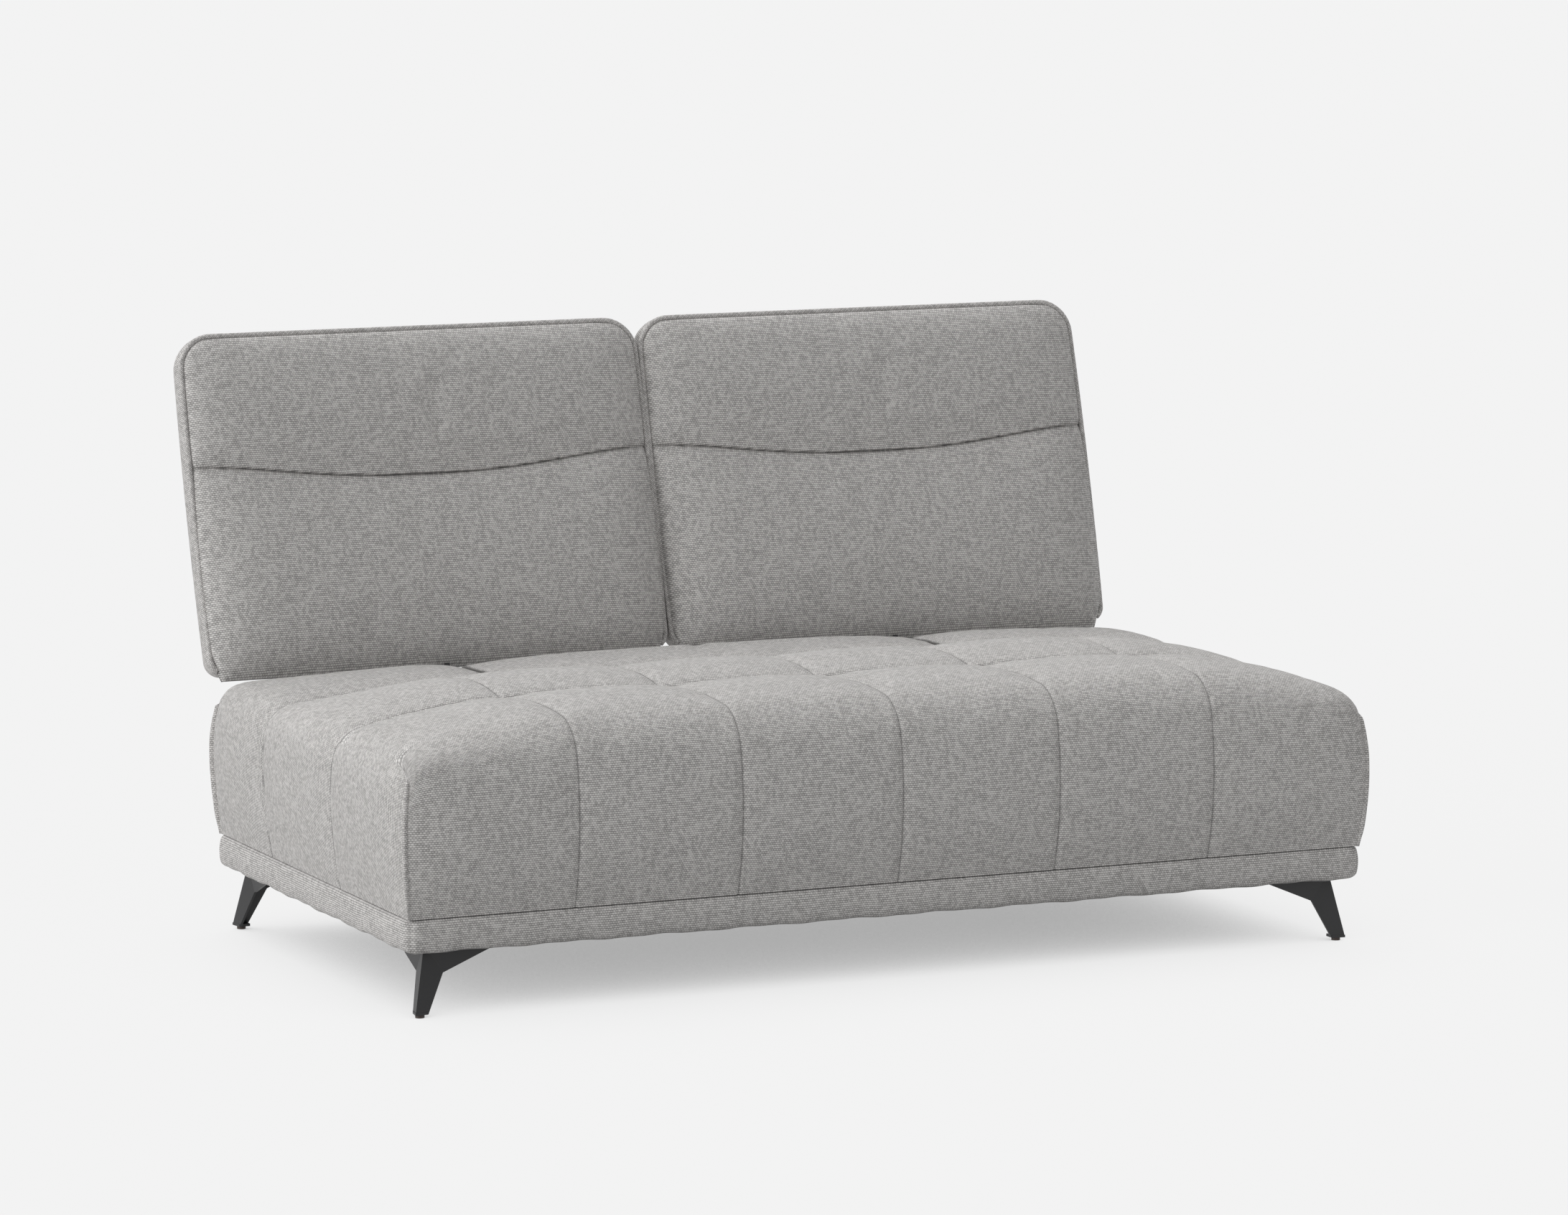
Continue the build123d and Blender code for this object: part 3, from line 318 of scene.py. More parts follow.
def simulatedSwell(name, points, pinned):
    # cloth held at its seams and blown up from behind, and how far each point went outwards
    rows, columns = points.shape[:2]
    normals = gridNormals(points)
    index = np.arange(rows * columns).reshape(rows, columns)
    quads = gridQuads(index)
    mesh = bpy.data.meshes.new(name)
    mesh.from_pydata(points.reshape(-1, 3).tolist(), [], quads.reshape(-1, 4).tolist())
    cloth = newObject(name, mesh)
    cloth.vertex_groups.new(name="held").add(np.flatnonzero(pinned).tolist(), 1.0, "REPLACE")
    modifier = cloth.modifiers.new("cloth", "CLOTH")
    for setting, value in clothRun["settings"].items():
        setattr(modifier.settings, setting, value)
    modifier.settings.vertex_group_mass = "held"
    modifier.settings.effector_weights.gravity = 0
    modifier.collision_settings.use_collision = False
    modifier.point_cache.frame_start = 1
    modifier.point_cache.frame_end = clothRun["frames"]
    for frameNumber in range(1, clothRun["frames"] + 1):
        scene.frame_set(frameNumber)
    evaluated = cloth.evaluated_get(bpy.context.evaluated_depsgraph_get())
    moved = np.zeros(rows * columns * 3)
    evaluated.data.vertices.foreach_get("co", moved)
    moved = moved.reshape(rows, columns, 3)
    swell = ((moved - points) * normals).sum(2)
    bpy.data.objects.remove(cloth)
    bpy.data.meshes.remove(mesh)
    scene.frame_set(1)
    return np.clip(swell, -clothRun["cap"], clothRun["cap"])


def sharedSwell(swell, pinned, smoothShare, wrinkleShare):
    # keeps part of the broad swell, since the form has its crown already, and more of the wrinkles
    smooth = swell.copy()
    for _ in range(14):
        padded = np.pad(smooth, 1, mode="edge")
        smooth = (padded[:-2, 1:-1] + padded[2:, 1:-1] + padded[1:-1, :-2] + padded[1:-1, 2:]) / 4
        smooth = smooth * (1 - pinned) + swell * pinned
    return smooth * smoothShare + (swell - smooth) * wrinkleShare


def creaseMark(distance, width):
    return np.exp(-((distance / width) ** 2))


def cornerLoop(corners, pitch, turns, first=None):
    # points and outward directions round an outline with rounded corners, back to the first point
    points, outs = ([], []) if first is None else ([np.array(first)], [np.array([0.0, -1.0])])

    def addStraight(goal, out, stop):
        last = points[-1]
        count = max(1, int(np.linalg.norm(goal - last) / pitch))
        for step in range(1, count + stop):
            points.append(last + (goal - last) * step / count)
            outs.append(out)

    for x, y, radius, start in corners:
        angles = np.radians(start + 90 * np.arange(turns) / (turns - 1))
        ways = np.stack([np.cos(angles), np.sin(angles)], 1)
        arc = np.array([x, y]) + radius * ways
        if points:
            addStraight(arc[0], ways[0], 0)
        points.extend(arc)
        outs.extend(ways)
    addStraight(points[0], outs[0], 1)
    return np.array(points), np.array(outs)


seat = {
    "width": 1.600,
    "frontY": -0.521,
    "rearY": 0.321,
    "seamZ": 0.1525,
    "bulgeZ": 0.285,
    "shoulderZ": 0.388,
    "shoulderDepth": 0.017,  # of the shoulder's rounding at the corners
    "row1": 0.2947,
    "row2": 0.305225,
    "stretches": (0.236, 0.062, 0.245, 0.305225, 0.225, 0.045, 0.210),
    "panels": 6,
    "pitch": 0.0085,
    "simPitch": 0.013,
    "grooveDepth": 0.0014,  # of a seam between panels
    "rowDepth": 0.0085,  # of a seam between rows
    "grooveWidth": 0.0030,
    "rowWidth": 0.0100,
    # width of the dark line of painted shade along each seam
    "shadeLineWidth": 0.0009,
    "slitHalf": 0.007,
    "slitBottom": 0.275,
    "slitLip": 0.030,
    "hem": 0.012,
    "swellShare": 0.10,
    "wrinkleShare": 0.35,
    "frontCrown": 2.6,  # how square a panel's crown is across, the higher the squarer
    "pillowCrown": 7.0,
    "middleRise": 0.008,  # the middle rear pillow stands higher than its neighbours at the rear
    "riseStart": 0.21,
    "fallStart": 0.53,  # from here the outer panels fall away to the side
    "fallLevel": 0.39,
    "fallSoft": 0.018,  # over this height the fall sets in
    "fallShare": (0.840, 0.54),
    "rollZ": 0.30,  # level of the middle of the rounded side
    "rollX": 0.752,  # where the rounding starts
    "rollPower": 3.0,
    "cornerSpread": 0.008,  # how far the side bulges at a corner, a row seam and a row's crown
    "seamSpread": 0.014,
    "crownSpread": 0.020,
    "frontBow": 0.009,  # how far the corner seams bow out
    "rearBow": 0.012,
}
seat["crease1"] = seat["frontY"] + seat["row1"]
seat["crease2"] = seat["crease1"] + seat["row2"]
halfWidth, slitX = seat["width"] / 2, seat["width"] / 4
seat["panelSeams"] = np.linspace(-halfWidth, halfWidth, seat["panels"] + 1)
# bulge, then the heights of shoulder, crest, crease, crest, crease, crest and rear edge
sections = {
    "seam": (0.0205, 0.4390, 0.4430, 0.428, 0.4405, 0.401, 0.403, 0.399),
    "crown": (0.0235, 0.4445, 0.4520, 0.434, 0.4475, 0.406, 0.4145, 0.4055),
}


def seatProfile(kind, shares):
    bulge, shoulder, crest1, crease1, crest2, crease2, crest3, edge = sections[kind]
    front, rear, base = seat["frontY"], seat["rearY"], seat["seamZ"]
    edgePoint = (front - bulge * 0.45, seat["shoulderZ"])
    rise = shoulder - seat["shoulderZ"]
    top = (front + rise * 1.2, shoulder)
    bend = (front + rise * 0.35, seat["shoulderZ"] + rise * 0.72)
    rearBulge, edgeY = 0.013, rear - 0.022
    rearShoulder = (rear + rearBulge * 0.55, edge - 0.032)
    creaseY1, creaseY2 = seat["crease1"], seat["crease2"]
    crestY1, crestY2 = front + seat["row1"] * 0.55, creaseY1 + seat["row2"] * 0.45
    arcs = [
        ((front, base), (front - bulge, seat["bulgeZ"]), edgePoint),
        (edgePoint, bend, top),
        (top, (crestY1, crest1), (creaseY1, crease1)),
        ((creaseY1, crease1), (crestY2, crest2), (creaseY2, crease2)),
        ((creaseY2, crease2), ((creaseY2 + edgeY) / 2, crest3), (edgeY, edge)),
        ((edgeY, edge), (rear - 0.003, edge - 0.010), rearShoulder),
        (rearShoulder, (rear + rearBulge, seat["bulgeZ"]), (rear, base)),
    ]
    pieces = [arcThrough(*arc, part) for arc, part in zip(arcs, shares)]
    return np.concatenate([piece[(0 if spot == 0 else 1):] for spot, piece in enumerate(pieces)])


def seatRows(fine):
    pitch, near = (seat["pitch"], seamSteps) if fine else (seat["simPitch"], (0.0,))
    shares = []
    for length in seat["stretches"]:
        count = max(4, int(length / pitch))
        shares.append(spaced(length, pitch, near) if length > 0.1 else np.linspace(0, 1, count + 1))
    return shares


def seatColumns(fine):
    pitch, near = (seat["pitch"], seamSteps) if fine else (seat["simPitch"], (0.0,))
    panel = seat["width"] / seat["panels"]
    half = seat["slitHalf"]
    places = []
    for start in seat["panelSeams"][:-1]:
        middle = start + panel / 2
        stretch = start + spaced(panel, pitch, near) * panel
        if fine and abs(abs(middle) - slitX) < 0.001:
            rim = np.array([-0.020, -0.0145, -0.010, -half, 0, half, 0.010, 0.0145, 0.020])
            stretch = np.concatenate([stretch[np.abs(stretch - middle) > 0.024], middle + rim])
        places.append(stretch)
    return np.unique(np.round(np.concatenate(places), 6))


def panelCrown(x, seams, roundness):
    seams = np.asarray(seams)
    spot = np.clip(np.searchsorted(seams, x, side="right") - 1, 0, len(seams) - 2)
    low, high = seams[spot], seams[spot + 1]
    off = np.abs((x - low) / (high - low) * 2 - 1)
    return 1 - off**roundness


def sideSpread(y):  # how far the side stands out beyond the base at a depth
    rows = [seat["frontY"], seat["crease1"], seat["crease2"], seat["rearY"]]
    inside = np.clip(y, rows[0] + 1e-6, rows[-1] - 1e-6)
    crown = panelCrown(inside.ravel(), rows, 3.0).reshape(inside.shape)
    corner = np.minimum(inside - rows[0], rows[-1] - inside) / (seat["row1"] / 2)
    low = seat["cornerSpread"] + (seat["seamSpread"] - seat["cornerSpread"]) * smoothstep(corner)
    return low + (seat["crownSpread"] - low) * crown


def fallAway(x, y, z):  # lowers the outer panels and rounds them over the side
    away = np.abs(x)
    fall = np.clip((away - seat["fallStart"]) / (halfWidth - seat["fallStart"]), 0, 1) ** 1.35
    rear = smoothstep((y - seat["crease2"] + 0.05) / 0.12)
    share = seat["fallShare"][0] + (seat["fallShare"][1] - seat["fallShare"][0]) * rear
    above = z - seat["fallLevel"]
    above = (above + np.sqrt(above**2 + seat["fallSoft"] ** 2)) / 2
    z = z - above * share * fall
    start, power = seat["rollX"], seat["rollPower"]
    reach = halfWidth - start + sideSpread(y)
    off = np.clip((away - start) / reach, 0, 1)
    rolled = (1 - off**power) ** (1 / power)
    over = z > seat["rollZ"]
    return np.where(over, seat["rollZ"] + (z - seat["rollZ"]) * rolled, z), z


def seatSurface(x, shares):
    profiles = {kind: seatProfile(kind, shares) for kind in sections}
    counts = [len(part) - 1 for part in shares]
    marks = np.concatenate([[0], np.cumsum(counts)])
    spot = np.arange(marks[-1] + 1)[:, None]
    pillowSeams = [-halfWidth, -slitX, slitX, halfWidth]
    outer = np.abs(x) > halfWidth - seat["width"] / seat["panels"] / 2
    frontCrown = np.where(outer, 1, panelCrown(x, seat["panelSeams"], seat["frontCrown"]))
    pillowCrown = np.where(outer, 1, panelCrown(x, pillowSeams, seat["pillowCrown"]))
    rear = smoothstep((spot - marks[4]) / max(1.0, 0.22 * counts[4]))
    crown = frontCrown * (1 - rear) + pillowCrown * rear
    seam, swell = profiles["seam"], profiles["crown"] - profiles["seam"]
    y, z = (seam[:, [axis]] + swell[:, [axis]] * crown for axis in (0, 1))
    middle = (np.abs(x) < slitX) * panelCrown(x, pillowSeams, 3.0)
    onTop = smoothstep((z - 0.33) / 0.06)
    atRear = smoothstep((y - seat["riseStart"]) / 0.05)
    z = z + seat["middleRise"] * middle * atRear * onTop
    # the front and rear faces draw in to the corner seams
    away = halfWidth - np.abs(x)
    drawn = 1 - np.sqrt(np.clip(1 - np.clip(1 - away / 0.10, 0, 1) ** 2.4, 0, 1))
    level = np.clip((z - seat["seamZ"]) / (seat["shoulderZ"] - seat["seamZ"]), 0, 1)
    frontEnd = seat["frontY"] - seat["frontBow"] * np.sin(math.pi * level)
    rearEnd = seat["rearY"] + seat["rearBow"] * np.sin(math.pi * level**1.5)
    turned = seat["frontY"] + seat["shoulderDepth"] * (spot - marks[1]) / counts[1]
    frontEnd = np.where((spot > marks[1]) & (spot <= marks[2]), turned, frontEnd)
    start = seat["frontY"] + seat["shoulderDepth"]
    backTo = start + (seat["crease1"] - start) * (spot - marks[2]) / counts[2]
    target = np.where(spot <= marks[2], frontEnd, np.where(spot < marks[3], backTo, y))
    target = np.where(spot >= marks[6], rearEnd, target)
    y = y + (target - y) * drawn
    # the corner seams stand out sideways too
    bow = seat["cornerSpread"] * np.sin(math.pi * level) * smoothstep(1 - away / 0.05)
    bow = bow * ((spot <= marks[1]) | (spot >= marks[6]))
    rolled, raw = fallAway(x * np.ones(y.shape), y, z)
    surface = np.stack([x + np.sign(x) * bow, y, rolled], -1)
    return surface, raw, runShares(profiles["crown"], True), marks


def seatGrooves(x, arc, marks, width, rowWidth):  # how near each point is to a seam, 1 on it
    toSeam = np.min(np.abs(x[:, None] - seat["panelSeams"][None, 1:-1]), axis=1)
    inFront = (np.arange(len(arc)) <= marks[4])[:, None]
    across = creaseMark(toSeam, width)[None] * inFront
    along = np.maximum(creaseMark(arc - arc[marks[3]], rowWidth), creaseMark(arc - arc[marks[4]], rowWidth))
    return across, along[:, None] * np.ones((1, len(x)))


def seatSwell(x, arc):
    columns = seatColumns(fine=False)
    rough, _, roughArc, marks = seatSurface(columns, seatRows(fine=False))
    pinned = np.zeros(rough.shape[:2])
    pinned[[0, -1], :] = 1
    pinned[:, [0, -1]] = 1
    pinned[[marks[3], marks[4]], :] = 1
    for line in seat["panelSeams"][1:-1]:
        pinned[:marks[4] + 1, np.argmin(np.abs(columns - line))] = 1
    for line in (-slitX, slitX):
        pinned[marks[4]:, np.argmin(np.abs(columns - line))] = 1
    swell = simulatedSwell("seatTrial", rough, pinned)
    detail = sharedSwell(swell, pinned, seat["swellShare"], seat["wrinkleShare"])
    ends = smoothstep((halfWidth - np.abs(columns)) / 0.07)[None]
    spread = cubicSpread(roughArc, np.clip(arc, roughArc[0], roughArc[-1]))
    return spread @ (detail * ends) @ cubicSpread(columns, x).T


def addSlitLips(skin, surface, normals, uv, x, isOpen):
    # the cover turns in along both edges and both ends of each slit, painted darker the deeper it goes:
    # painted shade
    rows = np.flatnonzero(isOpen)
    span = slice(rows[0], rows[-1] + 2)
    deep = np.array([0, 0.1, 0.4, 1.0])[None, :, None] * seat["slitLip"]
    for middle in (-slitX, slitX):
        columns = [np.argmin(np.abs(x - middle - edge * seat["slitHalf"])) for edge in (-1, 1)]
        for column, flip in zip(columns, (False, True)):
            lip = surface[span, column][:, None] - normals[span, column][:, None] * deep
            lipUv = uv[span, column][:, None] + deep * [0, 1]
            skin.add(lip, lipUv, np.array([0.6, 0.8, 1, 1])[None], flip)
        across = slice(columns[0], columns[1] + 1)
        for row, flip in ((span.start, False), (span.stop - 1, True)):
            rim = surface[row, across]
            skin.addWall([rim, rim - normals[row, across] * seat["slitLip"]], uv[row, across], 1.0, flip)


def addHem(skin, edge, uv, inward, flip):  # the cover turns in over the base band, painted dark there as painted shade
    steps = ((0, 0), (0.6, 0.001), (1, 0.006))
    lines = [edge + [*(np.array(inward) * seat["hem"] * share), lift] for share, lift in steps]
    skin.addWall(lines, uv, 0.9, flip)


def addSeatSide(skin, surface, raw, marks, sign):
    # one side, bulging between the seams of the rows
    column = 0 if sign < 0 else -1
    outline = surface[:, column]
    frontTop, rearTop = marks[2], marks[5]
    front, rear, top = outline[:frontTop + 1], outline[rearTop:][::-1], outline[frontTop:rearTop + 1]
    heightShare, rearShare, depthShare = (runShares(line) for line in (front, rear, top))
    rearMatched = np.stack([np.interp(heightShare, rearShare, rear[:, axis]) for axis in range(3)], 1)
    bottom = front[0] + depthShare[:, None] * (rearMatched[0] - front[0])
    u, v = heightShare[:, None, None], depthShare[None, :, None]
    between = (1 - v) * front[:, None] + v * rearMatched[:, None]
    patch = between + (1 - u) * bottom[None] + u * top[None]
    corner = (1 - u) * ((1 - v) * front[0] + v * rearMatched[0]) + u * ((1 - v) * top[0] + v * top[-1])
    patch = patch - corner
    seamX = np.abs(between[..., 0])
    y, z = patch[..., 1], patch[..., 2]
    # the same rounding as on top, from the height that the top would have without it
    inside = np.clip(y, seat["frontY"] + 0.001, seat["rearY"] - 0.001)
    height = np.interp(inside, outline[:, 1][marks[1]:marks[6]], raw[marks[1]:marks[6], column])
    spread = sideSpread(y)
    start, power = seat["rollX"], seat["rollPower"]
    reach = halfWidth - start + spread
    share = np.clip((z - seat["rollZ"]) / np.maximum(height - seat["rollZ"], 0.01), 0, 1)
    above = start + reach * (1 - share**power) ** (1 / power)
    below = halfWidth + spread * (1 - ((seat["rollZ"] - z) / (seat["rollZ"] - seat["seamZ"])) ** 2)
    bulged = np.where(z > seat["rollZ"], above, below)
    toCorner = np.minimum(y - front[:, None, 1], rearMatched[:, None, 1] - y)
    blend = np.sqrt(1 - (1 - np.clip(toCorner / 0.05, 0, 1)) ** 2)
    bulged = seamX + (bulged - seamX) * blend
    toSeam = np.minimum(np.abs(y - seat["crease1"]), np.abs(y - seat["crease2"]))
    patch[..., 0] = sign * (bulged - creaseMark(toSeam, seat["grooveWidth"]) * seat["grooveDepth"])
    patch[0], patch[-1] = bottom, top
    patch[:, 0], patch[:, -1] = front, rearMatched
    lengths = np.linalg.norm(np.diff(patch[::-1], axis=0), axis=2)
    run = np.concatenate([np.zeros((1, patch.shape[1])), np.cumsum(lengths, axis=0)])[::-1]
    uv = np.stack([run, y], -1)
    # the row seams on the side are painted darker: painted shade
    skin.add(patch, uv, creaseMark(toSeam, seat["shadeLineWidth"]), flip=(sign < 0))
    addHem(skin, patch[0], uv[0], (-sign, 0), sign > 0)


def makeSeatCover():
    x = seatColumns(fine=True)
    surface, raw, arc, marks = seatSurface(x, seatRows(fine=True))
    normals = gridNormals(surface)
    ends = smoothstep((halfWidth - np.abs(x)) / 0.16)[None]
    across, along = seatGrooves(x, arc, marks, seat["grooveWidth"], seat["rowWidth"])
    along = along * (0.2 + 0.8 * ends)
    depth = np.maximum(across * seat["grooveDepth"], along * seat["rowDepth"])
    surface = surface - normals * depth[..., None]
    surface = surface + normals * seatSwell(x, arc)[..., None]
    across, along = seatGrooves(x, arc, marks, seat["shadeLineWidth"], seat["shadeLineWidth"])
    uv = np.stack(np.meshgrid(x, arc), -1)
    middles = (x[1:] + x[:-1]) / 2
    inSlit = np.abs(np.abs(middles) - slitX) < seat["slitHalf"]
    column = np.argmin(np.abs(x - slitX))
    rowMiddle = (surface[1:, column] + surface[:-1, column]) / 2
    isOpen = (rowMiddle[:, 1] > seat["crease2"] - 0.005) & (rowMiddle[:, 2] > seat["slitBottom"])
    skin = Skin("seatCover")
    # the seams are painted darker along a thin line: painted shade
    skin.add(surface, uv, np.maximum(across, along * 0.85), skip=isOpen[:, None] & inSlit[None])
    addSlitLips(skin, surface, normals, uv, x, isOpen)
    for row, inward in ((0, 1), (-1, -1)):
        addHem(skin, surface[row], uv[row], (0, inward), row == 0)
    for sign in sides.values():
        addSeatSide(skin, surface, raw, marks, sign)
    piece = skin.build(coverCloth)
    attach(piece, "seat_base")
    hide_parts("seat_cover")
    return surface, marks


seatSkin, seatMarks = makeSeatCover()
print("seat cover made")

welt = {"wide": 0.0110, "thick": 0.0070, "turns": 12, "pitch": 0.006, "tip": 0.012, "foot": 0.035}


def makeCornerWelts():
    # flattened welts stand along the four corner seams and end in a rounded tip
    skin = Skin("cornerWelts")
    for column, sx in ((0, -1), (-1, 1)):
        for rows, sy in ((slice(0, seatMarks[1] + 2), -1), (slice(seatMarks[6] - 2, None), 1)):
            path = seatSkin[rows, column]
            path = path if sy < 0 else path[::-1]
            length = runShares(path, True)
            places = np.linspace(0, length[-1], int(length[-1] / welt["pitch"]) + 1)
            path = np.stack([np.interp(places, length, path[:, axis]) for axis in range(3)], 1)
            out = np.array([sx, sy, 0]) / math.sqrt(2)
            side = np.array([-sy, sx, 0]) / math.sqrt(2)
            tip = np.sqrt(1 - np.clip(1 - (places[-1] - places) / welt["tip"], 0, 1) ** 2)
            tip = tip * (0.35 + 0.65 * smoothstep(places / welt["foot"]))
            angles = np.linspace(0, 2 * math.pi, welt["turns"] + 1)
            grid = np.zeros((len(places), len(angles), 3))
            for spot, angle in enumerate(angles):
                away = out * (math.cos(angle) * welt["wide"] / 2 + welt["wide"] * 0.05)
                away = away + side * (math.sin(angle) * welt["thick"] / 2)
                grid[:, spot] = path + away * (0.15 + 0.85 * tip)[:, None]
            uv = np.stack(np.meshgrid(angles * welt["wide"] / 3, places), -1)
            skin.add(grid, uv, flip=(sx * sy > 0))
            for end, flip in ((-1, sx * sy > 0), (0, sx * sy < 0)):
                middle = np.broadcast_to(grid[end, :-1].mean(0), grid[end].shape)
                skin.addWall([grid[end], middle], uv[end], flip=flip)
    piece = skin.build(coverCloth)
    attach(piece, "seat_base")


makeCornerWelts()
print("corner welts made")

band = {
    "width": 1.600,
    "depth": 0.842,
    "middleY": -0.100,
    "low": 0.099,
    "high": 0.1525,
    "bulge": 0.0065,
    "cornerRadius": 0.014,
    "pitch": 0.008,
    "turns": 9,
    "waves": ((0.0007, 41.0, 0.0), (0.0005, 97.0, 1.3)),
    "seamDent": 0.0012,  # of the upright seams at the four corners
}


def makeBand():
    turned = np.array([(-1, -1, 180), (1, -1, 270), (1, 1, 0), (-1, 1, 90)])
    tips = turned[:, :2] * [band["width"] / 2, band["depth"] / 2]
    centres = tips - turned[:, :2] * band["cornerRadius"]
    corners = [(*centre, band["cornerRadius"], start) for centre, start in zip(centres, turned[:, 2])]
    loop, loopOuts = cornerLoop(corners, band["pitch"], band["turns"])
    height = band["high"] - band["low"]
    # inward at the top seam, proud in the middle, turned under at the foot
    section = []
    for share in np.linspace(0, 1, 22):
        z = band["high"] - height * share
        out = band["bulge"] * math.sin(math.pi * min(1, share * 1.02)) ** 0.55
        if share > 0.80:
            out -= 0.012 * (1 - math.sqrt(max(0, 1 - ((share - 0.80) / 0.20) ** 2)))
        if share < 0.12:
            out -= 0.004 * (1 - share / 0.12) ** 2
        section.append((out, z))
    section.append((-0.016, band["low"] + 0.0005))
    section.append((-0.024, band["low"] + 0.004))
    section.insert(0, (-0.012, band["high"] + 0.001))
    section = np.array(section)
    along = runShares(loop, True)
    # a faint waviness, since the strip is only stapled along its foot
    wave = sum(size * np.sin(along * pace + start) for size, pace, start in band["waves"])
    wave *= np.clip(np.minimum(along, along[-1] - along) / 0.05, 0, 1)
    grid = np.zeros((len(section), len(loop), 3))
    fade = np.clip((band["high"] - section[:, 1]) / height, 0, 1)
    for row, (out, z) in enumerate(section):
        grid[row, :, :2] = loop + loopOuts * (out + wave[:, None] * fade[row])
        grid[row, :, 1] += band["middleY"]
        grid[row, :, 2] = z - wave * fade[row] * 0.9
    uv = np.stack(np.meshgrid(along, section[:, 1]), -1)
    toCorner = np.min(np.linalg.norm(loop[:, None] - tips[None], axis=2), axis=1)
    toCorner -= toCorner.min()
    # painted shade: a thin dark line at each corner seam and a dark foot where the strip turns under
    mark = np.maximum(creaseMark(toCorner, 0.0010)[None] * 0.35, (fade[:, None] < 0.02) * 0.8)
    grid[..., :2] -= loopOuts * (creaseMark(toCorner, 0.003) * band["seamDent"])[:, None]
    skin = Skin("baseBand")
    skin.add(grid, uv, mark, flip=True)
    piece = skin.build(coverCloth)
    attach(piece, "seat_base")
    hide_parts("base_band_front", "base_band_rear", "base_band_left", "base_band_right")


makeBand()
print("base band made")

back = {
    "width": 0.795,
    "length": 0.547,
    "recline": math.radians(15.5),
    "footY": 0.406,
    "footZ": 0.396,
    "borderDepth": 0.034,
    "padding": 0.008,
    "topRadius": 0.056,
    "bottomRadius": 0.026,
    "seam": 0.329,
    "sag": 0.027,
    "pitch": 0.0085,
    "simPitch": 0.013,
    "edgeSteps": (0.0, 0.0007, 0.0018, 0.0034, 0.0058, 0.0095, 0.015),
    "drop": 0.017,  # how far the lumbar cushion hangs below the board
    "borderDrop": 0.008,
    "lumbarCrown": 0.050,
    "headCrown": 0.036,
    "lumbarBulge": 0.0040,  # how far the cushions' sides stand out
    "headBulge": 0.0015,
    "borderBulge": 0.0040,
    "overhang": 0.010,  # the head cushion hangs over the seam
    "swellShare": 0.15,
    "wrinkleShare": 0.28,
    "pipingRadius": 0.0042,
    "pipingTurns": 12,
    "edgeRise": 0.004,
    "edgeInset": 0.0065,  # from the backrest's outline to a cushion's edge, room for the piping
}
back["half"] = back["width"] / 2 - back["padding"] / 2


def onBack(centre, across, along, out):
    sine, cosine = math.sin(back["recline"]), math.cos(back["recline"])
    x = centre + across
    y = back["footY"] + along * sine - out * cosine
    z = back["footZ"] + along * cosine + out * sine
    return np.stack(np.broadcast_arrays(x, y, z), -1)


def sideBow(along):  # the long sides of the backrest stand out a little at mid length
    share = np.clip(along / back["length"], 0, 1)
    return back["borderBulge"] * np.sin(math.pi * share) ** 0.8


def backHalf(along, inset):
    # half the backrest's width at a height, drawn in at the rounded corners
    top, bottom = back["length"] - inset, inset
    half = back["width"] / 2 - inset
    upper, lower = back["topRadius"] - inset, back["bottomRadius"] - inset
    over = np.clip(along - (top - upper), 0, upper)
    under = np.clip((bottom + lower) - along, 0, lower)
    drawn = upper - np.sqrt(np.maximum(upper**2 - over**2, 0))
    return half - drawn - (lower - np.sqrt(np.maximum(lower**2 - under**2, 0))) + sideBow(along) * 0.6


def seamLine(across):
    share = np.clip(np.abs(across) / back["half"], 0, 1)
    return back["seam"] - back["sag"] * 0.5 * (1 + np.cos(math.pi * share**1.3))


# how far a cushion stands out, as a share of its crown, from its foot to its top
lowerRise = [
    (0.0, 0.14), (0.010, 0.34), (0.030, 0.53), (0.075, 0.74), (0.16, 0.94), (0.30, 1.06), (0.48, 1.09),
    (0.66, 1.03), (0.80, 0.95), (0.89, 0.86), (0.945, 0.75), (0.98, 0.56), (1.0, 0.30),
]
upperRise = [
    (0.0, 0.36), (0.015, 0.66), (0.055, 0.84), (0.13, 0.95), (0.26, 1.02), (0.46, 1.05), (0.66, 1.0),
    (0.80, 0.90), (0.90, 0.74), (0.955, 0.54), (0.985, 0.30), (1.0, 0.02),
]


def riseAlong(table, shares):
    spots, values = np.array(table).T
    slope = np.gradient(values, spots)
    index = np.clip(np.searchsorted(spots, shares) - 1, 0, len(spots) - 2)
    gap = spots[index + 1] - spots[index]
    t = (shares - spots[index]) / gap
    a, b = values[index], values[index + 1]
    da, db = slope[index] * gap, slope[index + 1] * gap
    ease = 3 * t**2 - 2 * t**3
    return (1 - ease) * a + ease * b + (t**3 - 2 * t**2 + t) * da + (t**3 - t**2) * db


